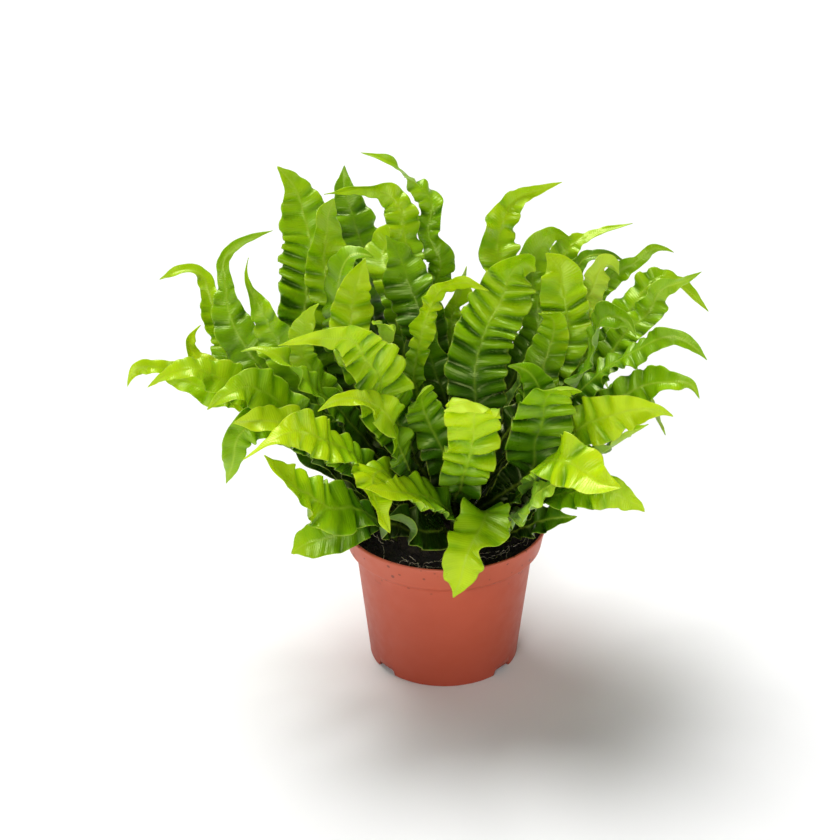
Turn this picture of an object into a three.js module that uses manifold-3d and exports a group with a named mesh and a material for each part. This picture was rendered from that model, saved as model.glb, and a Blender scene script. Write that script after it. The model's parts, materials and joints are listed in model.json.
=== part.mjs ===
// A fern with pleated, curly fronds in a plastic nursery pot.
// Millimetres, +Z up. The origin is on the pot's axis, where the pot stands on the ground,
// and -Y is the side of the plant that is seen first.

import * as THREE from 'three';
import Module from 'manifold-3d';
import { mergeVertices } from 'three/addons/utils/BufferGeometryUtils.js';

const wasm = await Module();
wasm.setup();

// ---- driving dimensions ----

const RIM_RADIUS = 62;
const POT_HEIGHT = 92;
const COLLAR_BOTTOM = 77; // the collar's lower edge
const COLLAR_BOTTOM_RADIUS = 58.8;
const LEDGE_BOTTOM = 73; // where the sloped ledge under the collar meets the body
const BODY_TOP_RADIUS = 53.8;
const FOOT_RADIUS = 45.6;
const WALL = 1.3;
const RIM_WALL = 2; // the rim's rounded edge is a little thicker
const FLOOR_UNDERSIDE = 5;
const FOOT_RING_WIDTH = 2.4;
const PAD_RADIUS = 13; // the pad under the floor's middle, level with the foot
const POT_SIDES = 36;

const NOTCH_ANGLES = [39, -39, 141, -141]; // degrees from +X turned towards -Y, in the foot ring
const NOTCH_WIDTH = 15;
const NOTCH_HEIGHT = 4;
const NOTCH_DEPTH = 12;
const DRAIN_COUNT = 6;
const DRAIN_RADIUS = 3.5;
const DRAIN_SIDES = 10;
const DRAIN_CIRCLE = 28;

const SOIL_TOP = 83;
const SOIL_ROUGHNESS = 1.2;
const SOIL_RINGS = [5, 12]; // the loose top's rings, measured in from its edge
const CROWN_RADIUS = 38;
const CROWN_BACK = 6; // how far the crown's middle lies behind the pot's axis
const CROWN_SIDES = 14;
const CROWN_SUNK = 7; // how deep the crown sits in the soil
const CROWN_DOME = 8; // its height above the soil
const GAP = 0.3; // between pieces that touch
const WALL_GAP = 0.45; // between the soil and the sloped wall, measured across

const STIPE_HALF_WIDTH = 1.9;
const STIPE_DEPTH = 5; // how deep a frond stands in the crown
const HOLE_LENGTH = 32; // of the cutter for a frond's hole
const HOLE_SPARE = 1.2; // how far the hole goes on under the foot
const RIB_THICKNESS = 1.6;
const EDGE_THICKNESS = 0.8;
const WAVE_LENGTH = 24; // of the frond's waved margin
const LEFT_OUT_RINGS = [2, 3]; // of a blade's rings, where they lie in its lowest part
const LOWEST_PART = 0.3;
const WAVES_GROW = [0.12, 0.3]; // the parts of a blade between which its waves grow
const FACED_PART = 0.6; // the part of a blade that has the facing given for it
const TIP_ROUNDNESS = 0.8; // 1 for a plainly pointed tip, and less for a rounder one
const WAVE_HEIGHT = 3;
const WAVED_HALF_WIDTH = 9; // a blade waves less where it is narrower than this, rib to margin
const CUP = 0.12; // how far the margins stand above the rib, as a share of half the width
const TIGHTEST_EDGE = 0.8; // half the width times the sideways bend of a rib, at the most
const SITE_COUNT = 74; // places on the crown where a frond may grow
const SITE_RING = 35.5; // the outermost of them
const FAN_DEPTH = 32; // the fronds fan out from a point this far under the crown's top
const CLEARANCE = 0.3; // half the room kept between two fronds
const BACK_GROUPS = 4;
const BACK_FIRST = 24; // the first group's azimuth, in degrees from +X
const BACK_SPREAD = 132; // from the first group to the last
const BACK_FAN = 13; // between neighbours in a group
const BACK_WIDTHS = [23, 28, 17];
const BACK_LOW = [[62, 140], [94, 168], [118, 172], [134, 148]]; // an arch's [reach, height]
const BACK_STEEP = [[48, 146], [72, 182], [94, 196], [114, 184]];
const TRIES = 600; // moves that a blade may try to stand clear of the others
// The largest of them: away and sideways, for the whole blade and for its base alone, about its rib
// in degrees, narrower by a share, and the foot to another site.
const MOST = { far: 45, farLow: 18, side: 7, sideLow: 12, roll: 50, narrow: 0.2, site: 14 };
const SHARED_SEED = 1000; // the first draw's seed for blades that share a foot
const SHARED_RINGS = 3; // how many rings such blades may have in common

const LEAF_GREENS = { bright: 0x9fc22a, mid: 0x6f9f1e, dark: 0x3f7014 };
const TERRACOTTA = 0xb8604a;
const PEAT = 0x1d1712;
const CROWN_BROWN = 0x4a3420;

// ---- helpers ----

const degrees = THREE.MathUtils.degToRad;
const vector = (x, y, z) => new THREE.Vector3(x, y, z);

/** A repeatable draw between -1 and 1 for a place in the plane. */
function noise(x, y) {
  const value = Math.sin(x * 12.9898 + y * 78.233) * 43758.5453;
  return 2 * (value - Math.floor(value)) - 1;
}

/** Drops everything but position, and merges the vertices that faces share. */
function positionsOnly(geometry) {
  const bare = geometry.clone();
  for (const name of Object.keys(bare.attributes)) {
    if (name !== 'position') bare.deleteAttribute(name);
  }
  return mergeVertices(bare, 1e-3);
}

function toSolid(geometry) {
  const merged = positionsOnly(geometry);
  const triangles = [];
  for (let i = 0; i < merged.index.count; i += 3) {
    const corners = [0, 1, 2].map((k) => merged.index.getX(i + k));
    if (new Set(corners).size === 3) triangles.push(...corners);
  }
  return new wasm.Manifold(new wasm.Mesh({
    numProp: 3,
    vertProperties: new Float32Array(merged.attributes.position.array),
    triVerts: new Uint32Array(triangles),
  }));
}

function toGeometry(solid) {
  const mesh = solid.getMesh();
  const geometry = new THREE.BufferGeometry();
  geometry.setAttribute('position', new THREE.BufferAttribute(mesh.vertProperties, 3));
  geometry.setIndex(new THREE.BufferAttribute(mesh.triVerts, 1));
  geometry.computeVertexNormals();
  return geometry;
}

/** A body of revolution about Z from [radius, height] points. */
function turned(profile, sides) {
  const points = profile.map(([radius, height]) => new THREE.Vector2(radius, height));
  return new THREE.LatheGeometry(points, sides).rotateX(Math.PI / 2);
}

function addMesh(group, name, geometry, colour, roughness) {
  const material = new THREE.MeshStandardMaterial({ color: colour, roughness, metalness: 0 });
  const mesh = new THREE.Mesh(geometry, material);
  mesh.name = name;
  group.add(mesh);
}

// ---- pot ----

const FLOOR_TOP = FLOOR_UNDERSIDE + WALL;
const FLOOR_RADIUS = FOOT_RADIUS + (BODY_TOP_RADIUS - FOOT_RADIUS) * (FLOOR_TOP / LEDGE_BOTTOM);

// The inside wall's [radius, height], from the floor up.
const INSIDE = [
  [FLOOR_RADIUS - WALL, FLOOR_TOP],
  [BODY_TOP_RADIUS - WALL, LEDGE_BOTTOM - 1],
  [COLLAR_BOTTOM_RADIUS - WALL, COLLAR_BOTTOM],
  [RIM_RADIUS - RIM_WALL, POT_HEIGHT - 3],
];

function makePot() {
  const profile = [
    [0, 0],
    [PAD_RADIUS, 0],
    [PAD_RADIUS, FLOOR_UNDERSIDE],
    [FOOT_RADIUS - FOOT_RING_WIDTH, FLOOR_UNDERSIDE],
    [FOOT_RADIUS - FOOT_RING_WIDTH, 0],
    [FOOT_RADIUS, 0],
    [BODY_TOP_RADIUS, LEDGE_BOTTOM],
    [COLLAR_BOTTOM_RADIUS, COLLAR_BOTTOM],
    [RIM_RADIUS, POT_HEIGHT - 1],
    [RIM_RADIUS - RIM_WALL / 3, POT_HEIGHT],
    [RIM_RADIUS - RIM_WALL, POT_HEIGHT],
    ...[...INSIDE].reverse(),
    [0, FLOOR_TOP],
  ];
  const shell = toSolid(turned(profile, POT_SIDES));
  const cutters = NOTCH_ANGLES.map((angle) => {
    const cutter = new THREE.BoxGeometry(NOTCH_DEPTH, NOTCH_WIDTH, 2 * NOTCH_HEIGHT);
    return toSolid(cutter.translate(FOOT_RADIUS, 0, 0).rotateZ(-degrees(angle)));
  });
  for (let i = 0; i < DRAIN_COUNT; i += 1) {
    const drain = new THREE.CylinderGeometry(DRAIN_RADIUS, DRAIN_RADIUS, 4 * WALL, DRAIN_SIDES);
    drain.rotateX(Math.PI / 2).translate(DRAIN_CIRCLE, 0, FLOOR_UNDERSIDE + WALL / 2);
    cutters.push(toSolid(drain.rotateZ((i * 2 * Math.PI) / DRAIN_COUNT)));
  }
  return toGeometry(cutters.reduce((solid, cutter) => solid.subtract(cutter), shell));
}

// ---- soil and crown ----

function makeSoil(holes) {
  const [floor, ledge, collar, rim] = INSIDE;
  const rise = (SOIL_TOP - collar[1]) / (rim[1] - collar[1]);
  const edge = THREE.MathUtils.lerp(collar[0], rim[0], rise) - WALL_GAP;
  const profile = [
    [0, FLOOR_TOP + GAP],
    [floor[0] - WALL_GAP, FLOOR_TOP + GAP],
    [ledge[0] - WALL_GAP, ledge[1]],
    [collar[0] - WALL_GAP, collar[1]],
    [edge, SOIL_TOP],
    [edge - SOIL_RINGS[0], SOIL_TOP + 1],
    [edge - SOIL_RINGS[1], SOIL_TOP],
    [0, SOIL_TOP],
  ];
  const geometry = positionsOnly(turned(profile, POT_SIDES));
  const position = geometry.attributes.position;
  for (let i = 0; i < position.count; i += 1) {
    const x = Math.round(position.getX(i) * 10) / 10;
    const y = Math.round(position.getY(i) * 10) / 10;
    const isLooseTop = position.getZ(i) > SOIL_TOP - 0.1 && Math.hypot(x, y) > 1;
    if (isLooseTop) position.setZ(i, position.getZ(i) + SOIL_ROUGHNESS * noise(x, y));
  }
  const bottom = SOIL_TOP - CROWN_SUNK - GAP;
  const reach = CROWN_RADIUS + GAP;
  const recess = turned([[0, bottom], [reach, bottom], [reach, 2 * SOIL_TOP], [0, 2 * SOIL_TOP]],
    CROWN_SIDES);
  const soil = toSolid(geometry).subtract(toSolid(recess.translate(0, CROWN_BACK, 0)));
  return toGeometry(withHoles(soil, holes));
}

/** The crown's upper surface above a place in the plane. */
function crownSurface(x, y) {
  const across = Math.min(1, Math.hypot(x, y - CROWN_BACK) / CROWN_RADIUS);
  return SOIL_TOP + CROWN_DOME * (1 - across * across);
}

function makeCrown(holes) {
  const bottom = SOIL_TOP - CROWN_SUNK;
  const profile = [[0, bottom], [CROWN_RADIUS, bottom]];
  for (const across of [1, 0.62, 0]) {
    profile.push([CROWN_RADIUS * across, crownSurface(CROWN_RADIUS * across, CROWN_BACK)]);
  }
  const dome = toSolid(turned(profile, CROWN_SIDES).translate(0, CROWN_BACK, 0));
  return toGeometry(withHoles(dome, holes));
}

/** The slanted hole that a stipe stands in, along the first two frames of its rib. */
function stipeHole([foot, next]) {
  const along = next.point.clone().sub(foot.point).normalize();
  const across = foot.across.clone().projectOnPlane(along).normalize();
  const normal = new THREE.Vector3().crossVectors(across, along);
  const thick = RIB_THICKNESS + 2 * GAP;
  const hole = new THREE.BoxGeometry(thick, 2 * (STIPE_HALF_WIDTH + GAP), HOLE_LENGTH);
  hole.translate(0, 0, HOLE_LENGTH / 2 - HOLE_SPARE);
  const turn = new THREE.Matrix4().makeBasis(normal, across, along).setPosition(foot.point);
  return toSolid(hole.applyMatrix4(turn));
}

const withHoles = (solid, holes) => holes.reduce((rest, hole) => rest.subtract(hole), solid);

// ---- fronds ----

// The way a frond's upper face looks, a little over half way up the blade.
const STANDING = vector(0, -1, 0.35); // an upright blade seen face on
const ARCHING = vector(0, -0.55, 0.85); // a blade that arches over
const FLAT = vector(0, 0, 1);

// Each frond: the points that its rib passes through above the crown, from the base to the tip, the
// blade's width at each point but the tip, the way it faces, how far it turns about its rib
// (degrees), its tone.
const FRONDS = [
  // in front and in the middle: the largest ones, which are placed first and move the least
  ['centre_big', [[16, -14, 183], [21, -8, 210], [29, -2, 231], [36, 5, 245], [41, 9, 254],
    [52, 16, 246]], [33, 37, 36, 30, 22], STANDING, 0, 'mid'],
  ['front_curl', [[18, -44, 148], [18, -56, 180], [15, -66, 202], [0, -80, 204]],
    [28, 32, 30], STANDING, 0, 'bright'],
  ['big_bright', [[-20, -34, 161], [-34, -50, 196], [-41, -62, 224], [-52, -70, 240],
    [-67, -78, 248], [-90, -88, 247]], [27, 34, 31, 20, 9], ARCHING, 0, 'bright'],
  ['front_right', [[48, -34, 143], [52, -42, 173], [56, -48, 194], [64, -56, 207], [74, -64, 208]],
    [29, 37, 34, 18], STANDING, 0, 'mid'],
  ['front_hanging', [[21, -50, 125], [20, -72, 125], [13, -86, 115], [4, -88, 90]],
    [26, 34, 25], ARCHING, 0, 'bright'],
  ['front_left_bright', [[4, -50, 124], [-10, -66, 141], [-24, -82, 155], [-44, -98, 166]],
    [20, 31, 22], ARCHING, 0, 'bright'],
  ['big_low_left', [[-50, -78, 140], [-69, -94, 155], [-85, -103, 171], [-98, -108, 192]],
    [27, 34, 25], ARCHING, 0, 'mid'],
  ['rim_left', [[-49, -38, 111], [-62, -43, 106], [-77, -46, 102], [-90, -46, 94]],
    [20, 28, 26], ARCHING, 0, 'mid'],
  ['left_bright', [[-56, -66, 173], [-69, -80, 189], [-81, -90, 197], [-93, -97, 195],
    [-110, -102, 186]], [22, 29, 21, 8], ARCHING, 0, 'bright'],
  ['right_bright', [[64, -50, 171], [77, -66, 189], [90, -78, 201], [105, -84, 209],
    [122, -88, 205]], [20, 29, 27, 15], ARCHING, 0, 'bright'],
  ['right_arch', [[48, -46, 138], [54, -64, 163], [66, -82, 175], [79, -96, 171], [94, -104, 170]],
    [14, 22, 29, 24], ARCHING, 0, 'bright'],
  ['right_dark', [[65, -44, 153], [81, -56, 166], [94, -62, 178], [107, -66, 189]],
    [20, 23, 13], ARCHING, 0, 'dark'],
  ['right_low', [[65, -52, 137], [86, -70, 148], [100, -74, 147], [111, -76, 139]],
    [20, 21, 15], ARCHING, 0, 'mid'],
  ['right_under', [[36, -48, 123], [48, -66, 143], [64, -78, 163]], [20, 23], ARCHING, 0, 'mid'],
  ['front_low_left', [[-3, -46, 111], [-18, -62, 120], [-34, -74, 135]],
    [25, 29], ARCHING, 0, 'dark'],
  ['centre_ribbon', [[0, -30, 143], [-8, -36, 173], [-15, -42, 195], [-9, -54, 207]],
    [22, 25, 19], STANDING, 0, 'mid'],
  ['dark_centre', [[0, 2, 170], [-8, 6, 196], [-10, 8, 209], [-5, 12, 220]],
    [20, 21, 15], STANDING, 0, 'dark'],
  ['dark_broad', [[-12, 26, 208], [-18, 34, 225], [-25, 44, 240], [-35, 52, 254]],
    [27, 31, 26], STANDING, 0, 'dark'],
  ['centre_arch', [[-11, 0, 207], [-7, 4, 228], [2, 8, 239], [14, 8, 241], [25, 6, 237]],
    [14, 17, 14, 9], ARCHING, 0, 'bright'],
  ['near_arch', [[-31, -20, 191], [-32, -24, 218], [-33, -34, 235], [-25, -50, 238]],
    [18, 21, 16], ARCHING, 0, 'mid'],
  // all round, whose tips make the outline
  ['tall_left', [[-84, 44, 196], [-82, 58, 229], [-83, 68, 256], [-88, 76, 272], [-100, 80, 287]],
    [30, 35, 34, 21], STANDING, 0, 'mid'],
  ['top_twist', [[3, 52, 212], [2, 66, 231], [-3, 73, 244], [-4, 80, 257], [-8, 86, 270],
    [-21, 90, 280], [-31, 92, 286], [-46, 96, 290]], [15, 18, 15, 14, 22, 10, 7], STANDING, 120, 'mid'],
  ['top_left_hook', [[-24, 50, 233], [-26, 62, 256], [-29, 69, 270], [-41, 72, 277],
    [-56, 70, 276], [-72, 70, 273]], [18, 20, 17, 9, 7], ARCHING, 0, 'mid'],
  ['top_left_tip', [[-40, 48, 214], [-45, 62, 243], [-50, 70, 261], [-56, 78, 275], [-57, 84, 290]],
    [25, 33, 33, 16], STANDING, 0, 'dark'],
  ['back_tall_right', [[29, 46, 222], [33, 62, 243], [38, 74, 259], [49, 82, 267], [71, 88, 273]],
    [22, 26, 17, 10], STANDING, 0, 'mid'],
  ['curl_top_right', [[52, 32, 206], [50, 46, 230], [56, 56, 246], [66, 62, 250], [74, 58, 248]],
    [20, 24, 17, 8], STANDING, 0, 'mid'],
  ['back_right_tip', [[67, 60, 216], [72, 70, 234], [82, 76, 243], [97, 80, 246], [114, 82, 250]],
    [18, 17, 9, 5], ARCHING, 0, 'mid'],
  ['far_right_arch', [[91, 29, 186], [109, 39, 211], [121, 47, 226], [133, 49, 229],
    [147, 47, 219], [158, 45, 208]], [18, 20, 15, 12, 8], ARCHING, 0, 'mid'],
  ['far_right_twist', [[93, -2, 197], [112, 4, 221], [125, 12, 236], [137, 16, 240], [148, 18, 245]],
    [18, 19, 13, 6], ARCHING, 60, 'bright'],
  ['right_ribbon', [[88, 48, 208], [104, 58, 226], [117, 60, 234], [128, 62, 243], [137, 60, 240]],
    [14, 13, 8, 6], ARCHING, 90, 'mid'],
  ['far_right_mid', [[84, -8, 183], [109, -14, 208], [123, -18, 219], [136, -22, 218],
    [148, -24, 208]], [20, 21, 13, 8], ARCHING, 0, 'bright'],
  ['far_right_low', [[84, -12, 169], [107, -18, 185], [124, -22, 192], [138, -26, 196],
    [146, -28, 186]], [20, 20, 17, 8], ARCHING, 0, 'mid'],
  ['left_swan', [[-107, 6, 187], [-123, 20, 212], [-129, 33, 230], [-130, 40, 245],
    [-121, 42, 254], [-101, 42, 261]], [22, 24, 9, 7, 6], STANDING, 0, 'mid'],
  ['far_left_curl', [[-120, 8, 186], [-132, 22, 209], [-141, 33, 225], [-146, 38, 235],
    [-155, 38, 238], [-170, 36, 233]], [22, 24, 9, 10, 10], STANDING, 0, 'mid'],
  ['far_left_front', [[-109, -26, 183], [-130, -34, 203], [-145, -38, 211], [-157, -37, 206],
    [-169, -34, 196]], [22, 22, 14, 7], ARCHING, 0, 'mid'],
  ['far_left_back', [[-121, 4, 166], [-146, 6, 179], [-164, 6, 186], [-176, 4, 193], [-186, 0, 180]],
    [20, 17, 11, 10], ARCHING, 0, 'bright'],
  ['right_bend', [[77, -26, 189], [83, -34, 219], [87, -38, 238], [96, -42, 243], [105, -46, 232]],
    [20, 25, 21, 13], ARCHING, 0, 'bright'],
  ['right_mid', [[74, -22, 172], [77, -24, 196], [80, -24, 216], [85, -28, 231]],
    [20, 25, 21], STANDING, 0, 'mid'],
  // between them, on the left and in the middle
  ['left_hanging', [[-33, -62, 155], [-43, -86, 164], [-40, -98, 156], [-33, -102, 140]],
    [20, 26, 22], ARCHING, 0, 'bright'],
  ['left_pale', [[-74, -58, 178], [-88, -72, 192], [-102, -78, 197], [-118, -78, 196]],
    [20, 25, 17], ARCHING, 0, 'bright'],
  ['left_droop', [[-83, -38, 165], [-103, -56, 184], [-114, -62, 182], [-118, -62, 168],
    [-125, -54, 145]], [20, 23, 20, 13], ARCHING, 0, 'mid'],
  ['left_fold', [[-83, -44, 182], [-100, -60, 203], [-113, -68, 213], [-123, -72, 209],
    [-132, -74, 202]], [22, 30, 17, 9], ARCHING, 0, 'mid'],
  ['left_ribbon', [[-61, -26, 176], [-77, -40, 199], [-87, -46, 215], [-97, -48, 226],
    [-114, -46, 224]], [20, 21, 15, 8], ARCHING, 0, 'mid'],
  ['bright_tip', [[-27, -50, 168], [-34, -62, 190], [-46, -74, 206], [-58, -80, 212],
    [-72, -84, 206]], [20, 22, 13, 8], ARCHING, 0, 'bright'],
  ['small_left', [[-68, -12, 182], [-81, -14, 209], [-81, -12, 225], [-72, -12, 238]],
    [16, 17, 13], STANDING, 0, 'mid'],
  ['left_thorn', [[-91, 4, 187], [-104, 14, 209], [-112, 20, 226], [-117, 21, 235], [-115, 20, 252]],
    [22, 25, 8, 3], STANDING, 0, 'mid'],
  ['tall_left_inner', [[-66, 34, 194], [-69, 46, 228], [-71, 54, 250], [-69, 60, 265],
    [-66, 66, 272]], [25, 26, 23, 19], STANDING, 0, 'mid'],
  ['bright_rib', [[-54, -2, 208], [-54, 4, 227], [-52, 8, 242], [-46, 10, 257]],
    [22, 26, 18], STANDING, 0, 'bright'],
  ['dark_bend', [[-58, 16, 206], [-63, 28, 229], [-58, 36, 247], [-43, 36, 247]],
    [25, 29, 19], STANDING, 0, 'dark'],
  ['pale_turn', [[-38, 32, 228], [-41, 44, 248], [-34, 54, 260], [-19, 60, 267]],
    [22, 27, 17], ARCHING, 0, 'bright'],
  // between them, on the right
  ['right_corrugated', [[71, 6, 204], [68, 16, 228], [66, 24, 244], [58, 26, 253]],
    [27, 29, 22], STANDING, 0, 'mid'],
  ['silver_under', [[71, 26, 204], [86, 36, 222], [95, 46, 238], [104, 56, 226]],
    [16, 21, 15], STANDING, 0, 'bright'],
  ['dark_hook', [[74, 53, 209], [80, 63, 225], [87, 65, 234], [97, 67, 235], [108, 67, 231]],
    [15, 13, 9, 5], ARCHING, 0, 'dark'],
];

// Smaller blades inside the plant: the frond whose foot each shares, its rib, widths and facing.
const INNER_BLADES = [
  ['right_corrugated', [[62, -20, 178], [63, -16, 208], [66, -14, 228], [56, -20, 236]],
    [22, 24, 17], STANDING],
  ['right_mid', [[57, -28, 169], [56, -32, 190], [48, -34, 206], [36, -40, 212]],
    [17, 21, 14], STANDING],
  ['near_arch', [[-35, 4, 211], [-34, 10, 231], [-34, 14, 244], [-41, 14, 252]],
    [13, 15, 10], STANDING],
  ['centre_arch', [[4, 30, 216], [8, 38, 230], [11, 42, 240]], [10, 12], STANDING],
  ['far_left_back', [[-115, 0, 172], [-141, 8, 190], [-149, 14, 200], [-142, 18, 211]],
    [15, 15, 9], ARCHING],
  ['dark_centre', [[14, 14, 150], [22, 22, 180], [20, 26, 205]], [20, 21], STANDING],
  ['dark_bend', [[-52, -8, 150], [-64, -10, 174], [-62, -4, 200]], [20, 21], STANDING],
  ['right_dark', [[30, -40, 114], [51, -50, 116], [72, -56, 123]], [20, 20], ARCHING],
  ['dark_hook', [[52, 24, 150], [62, 34, 178], [62, 44, 198]], [18, 19], STANDING],
];

/** How far along a rib each of its points lies, as a part of the whole. */
function partsOf(points) {
  let sum = 0;
  const sums = points.map((point, i) => {
    sum += i ? point.distanceTo(points[i - 1]) : 0;
    return sum;
  });
  return sums.map((length) => length / sum);
}

/** Half a blade's width, part way up its rib, from the half widths at its points. */
function halfWidth(part, knots, halves) {
  const next = knots.findIndex((knot) => knot > part);
  if (next < 0) return 0;
  const share = (part - knots[next - 1]) / (knots[next] - knots[next - 1]);
  const isBase = next === 2; // where the stipe widens into the blade
  const isTip = next === knots.length - 1;
  if (isTip) return halves[next - 1] * Math.pow(1 - share, TIP_ROUNDNESS);
  const grown = isBase ? THREE.MathUtils.smoothstep(share, 0, 1) : share;
  return THREE.MathUtils.lerp(halves[next - 1], halves[next], grown);
}

/** Rings of frames along a rib: a place, the way along it, the blade's normal and its width. */
function ribFrames(points, halves, face, turn) {
  const curve = new THREE.CatmullRomCurve3(points, false, 'centripetal');
  const steps = 2 * Math.round(curve.getLength() / WAVE_LENGTH);
  const knots = partsOf(points);
  const frames = [];
  for (let i = 0; i <= steps; i += 1) {
    const part = i / steps;
    if (part > LOWEST_PART || !LEFT_OUT_RINGS.includes(i)) {
      frames.push({
        part,
        point: curve.getPointAt(part),
        along: curve.getTangentAt(part).normalize(),
        half: halfWidth(part, knots, halves),
      });
    }
  }
  const last = frames.length - 1;
  const middle = frames.findIndex(({ part }) => part >= FACED_PART);
  const carry = (from, to) => {
    to.normal = from.clone().projectOnPlane(to.along).normalize();
    return to.normal;
  };
  let normal = carry(face, frames[middle]);
  for (let i = middle + 1; i <= last; i += 1) normal = carry(normal, frames[i]);
  normal = frames[middle].normal;
  for (let i = middle - 1; i >= 0; i -= 1) normal = carry(normal, frames[i]);
  for (const frame of frames) {
    frame.normal.applyAxisAngle(frame.along, degrees(turn) * (frame.part - FACED_PART));
    frame.across = new THREE.Vector3().crossVectors(frame.along, frame.normal);
  }
  // a blade is narrower where its rib turns sharply sideways
  for (let i = 1; i < last; i += 1) {
    const bend = frames[i + 1].along.clone().sub(frames[i - 1].along);
    const span = frames[i + 1].point.distanceTo(frames[i - 1].point);
    const sideways = Math.abs(bend.dot(frames[i].across)) / span;
    frames[i].half = Math.min(frames[i].half, TIGHTEST_EDGE / sideways);
  }
  return frames;
}

/** A closed blade round a rib. Its margins wave together, and both faces are split alike. */
function bladeGeometry(frames, spare = 0) {
  const positions = [];
  const triangles = [];
  const last = frames.length - 1;
  frames.forEach((frame, i) => {
    if (i === last) return;
    const { point, along, normal, across, half, part } = frame;
    const free = THREE.MathUtils.smoothstep(part, ...WAVES_GROW);
    const wave = (i % 2 ? 1 : -1) * WAVE_HEIGHT * free * Math.min(1, half / WAVED_HALF_WIDTH);
    const lift = wave + CUP * half * free;
    const edge = EDGE_THICKNESS / 2 + spare;
    const rib = RIB_THICKNESS / 2 + spare;
    const reach = half + spare;
    const corners = [
      [-reach, lift + edge], [0, rib], [reach, lift + edge],
      [reach, lift - edge], [0, -rib], [-reach, lift - edge],
    ];
    for (const [side, up] of corners) {
      const corner = point.clone().addScaledVector(across, side).addScaledVector(normal, up);
      if (i === 0) corner.addScaledVector(along, -spare);
      positions.push(...corner.toArray());
    }
  });
  positions.push(...frames[last].point.toArray());
  const tip = 6 * last;
  for (let i = 0; i < last - 1; i += 1) {
    for (let j = 0; j < 6; j += 1) {
      const a = 6 * i + j;
      const b = 6 * i + ((j + 1) % 6);
      const c = b + 6;
      const d = a + 6;
      // the diagonals leave the rib on both faces
      if (j === 0 || j === 3) triangles.push(a, b, d, b, c, d);
      else triangles.push(a, b, c, a, c, d);
    }
  }
  for (let j = 0; j < 6; j += 1) {
    triangles.push(6 * (last - 1) + j, 6 * (last - 1) + ((j + 1) % 6), tip);
  }
  triangles.push(0, 5, 1, 5, 4, 1, 1, 4, 2, 4, 3, 2);
  const geometry = new THREE.BufferGeometry();
  geometry.setAttribute('position', new THREE.BufferAttribute(new Float32Array(positions), 3));
  geometry.setIndex(triangles);
  return geometry;
}

/** Places on the crown where fronds may grow, on a sunflower spiral. */
function growingSites() {
  const goldenAngle = degrees(137.508);
  return Array.from({ length: SITE_COUNT }, (_, k) => {
    const radius = SITE_RING * Math.sqrt((k + 0.5) / SITE_COUNT);
    const angle = k * goldenAngle;
    return vector(radius * Math.cos(angle), radius * Math.sin(angle) + CROWN_BACK, 0);
  });
}

const nearest = (sites, wish) => (
  sites.reduce((a, b) => (b.distanceTo(wish) < a.distanceTo(wish) ? b : a)));

/**
 * Gives each frond a site near the ray from the fan's point to its rib's first point, and gives
 * back the sites that stay free. The fronds that lean out the most choose first, so that they
 * stand round the others.
 */
function giveSites(fronds) {
  const top = SOIL_TOP + CROWN_DOME;
  for (const frond of fronds) {
    const first = frond.blades[0].rib[0];
    const share = FAN_DEPTH / (first.z - top + FAN_DEPTH);
    frond.wish = vector(first.x * share, first.y * share + CROWN_BACK, 0);
  }
  const lean = (frond) => Math.hypot(frond.wish.x, frond.wish.y - CROWN_BACK);
  const free = growingSites();
  for (const frond of [...fronds].sort((a, b) => lean(b) - lean(a))) {
    frond.site = free.splice(free.indexOf(nearest(free, frond.wish)), 1)[0];
  }
  return free;
}

/** A blade to be placed: its rib's points, its widths there, its facing and its turn. */
const bladeOf = (rib, widths, face, turn = 0) => (
  { rib: rib.map((place) => vector(...place)), widths, face, turn });

/** The fronds at the back, in groups that share a foot and lean out behind the pot. */
function backFronds() {
  return Array.from({ length: BACK_GROUPS }, (_, i) => {
    const middle = BACK_FIRST + (BACK_SPREAD * i) / (BACK_GROUPS - 1);
    const blades = [-1, 0, 1].map((side) => {
      const azimuth = degrees(middle + side * (BACK_FAN + 3 * noise(i, side)));
      const face = vector(-0.5 * Math.cos(azimuth), -0.5 * Math.sin(azimuth), 0.85);
      const lift = 10 * noise(side, i + 5);
      const stretch = 1 + 0.08 * noise(i + 9, side);
      const arch = side === 0 ? BACK_STEEP : BACK_LOW;
      const rib = arch.map(([out, height], k) => (
        [out * stretch * Math.cos(azimuth), out * stretch * Math.sin(azimuth), height + k * lift / 2]));
      return bladeOf(rib, BACK_WIDTHS, face, 70 * noise(i, side + 3));
    });
    return { name: `back_${i + 1}`, blades, tone: 'mid' };
  });
}

// The line of sight of someone who looks down at the plant from the front. Moves along it hardly
// change what is seen from there.
const SIGHT = vector(0, 0.89, -0.45);

/** A row of seeded draws between -1 and 1. */
function drawsFrom(seed) {
  let state = seed;
  return () => {
    state = (Math.imul(state, 1664525) + 1013904223) >>> 0;
    return state / 2 ** 31 - 1;
  };
}

/**
 * The moves that a frond may make to stand clear of the fronds placed before it: none at first,
 * then drawn ones that grow, in depth, sideways, about the rib, and narrower.
 */
function movesFor(seed) {
  const draw = drawsFrom(seed);
  return Array.from({ length: TRIES }, (_, i) => {
    const reach = i / TRIES;
    const far = MOST.far * reach * draw();
    const side = MOST.side * reach * draw();
    return {
      far,
      farLow: 0.6 * far + MOST.farLow * reach * draw(),
      side,
      sideLow: side + MOST.sideLow * reach * draw(),
      roll: MOST.roll * reach * draw(),
      narrow: 1 - MOST.narrow * reach * Math.abs(draw()),
      siteShift: vector(MOST.site * reach * draw(), MOST.site * reach * draw(), 0),
    };
  });
}

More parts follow.
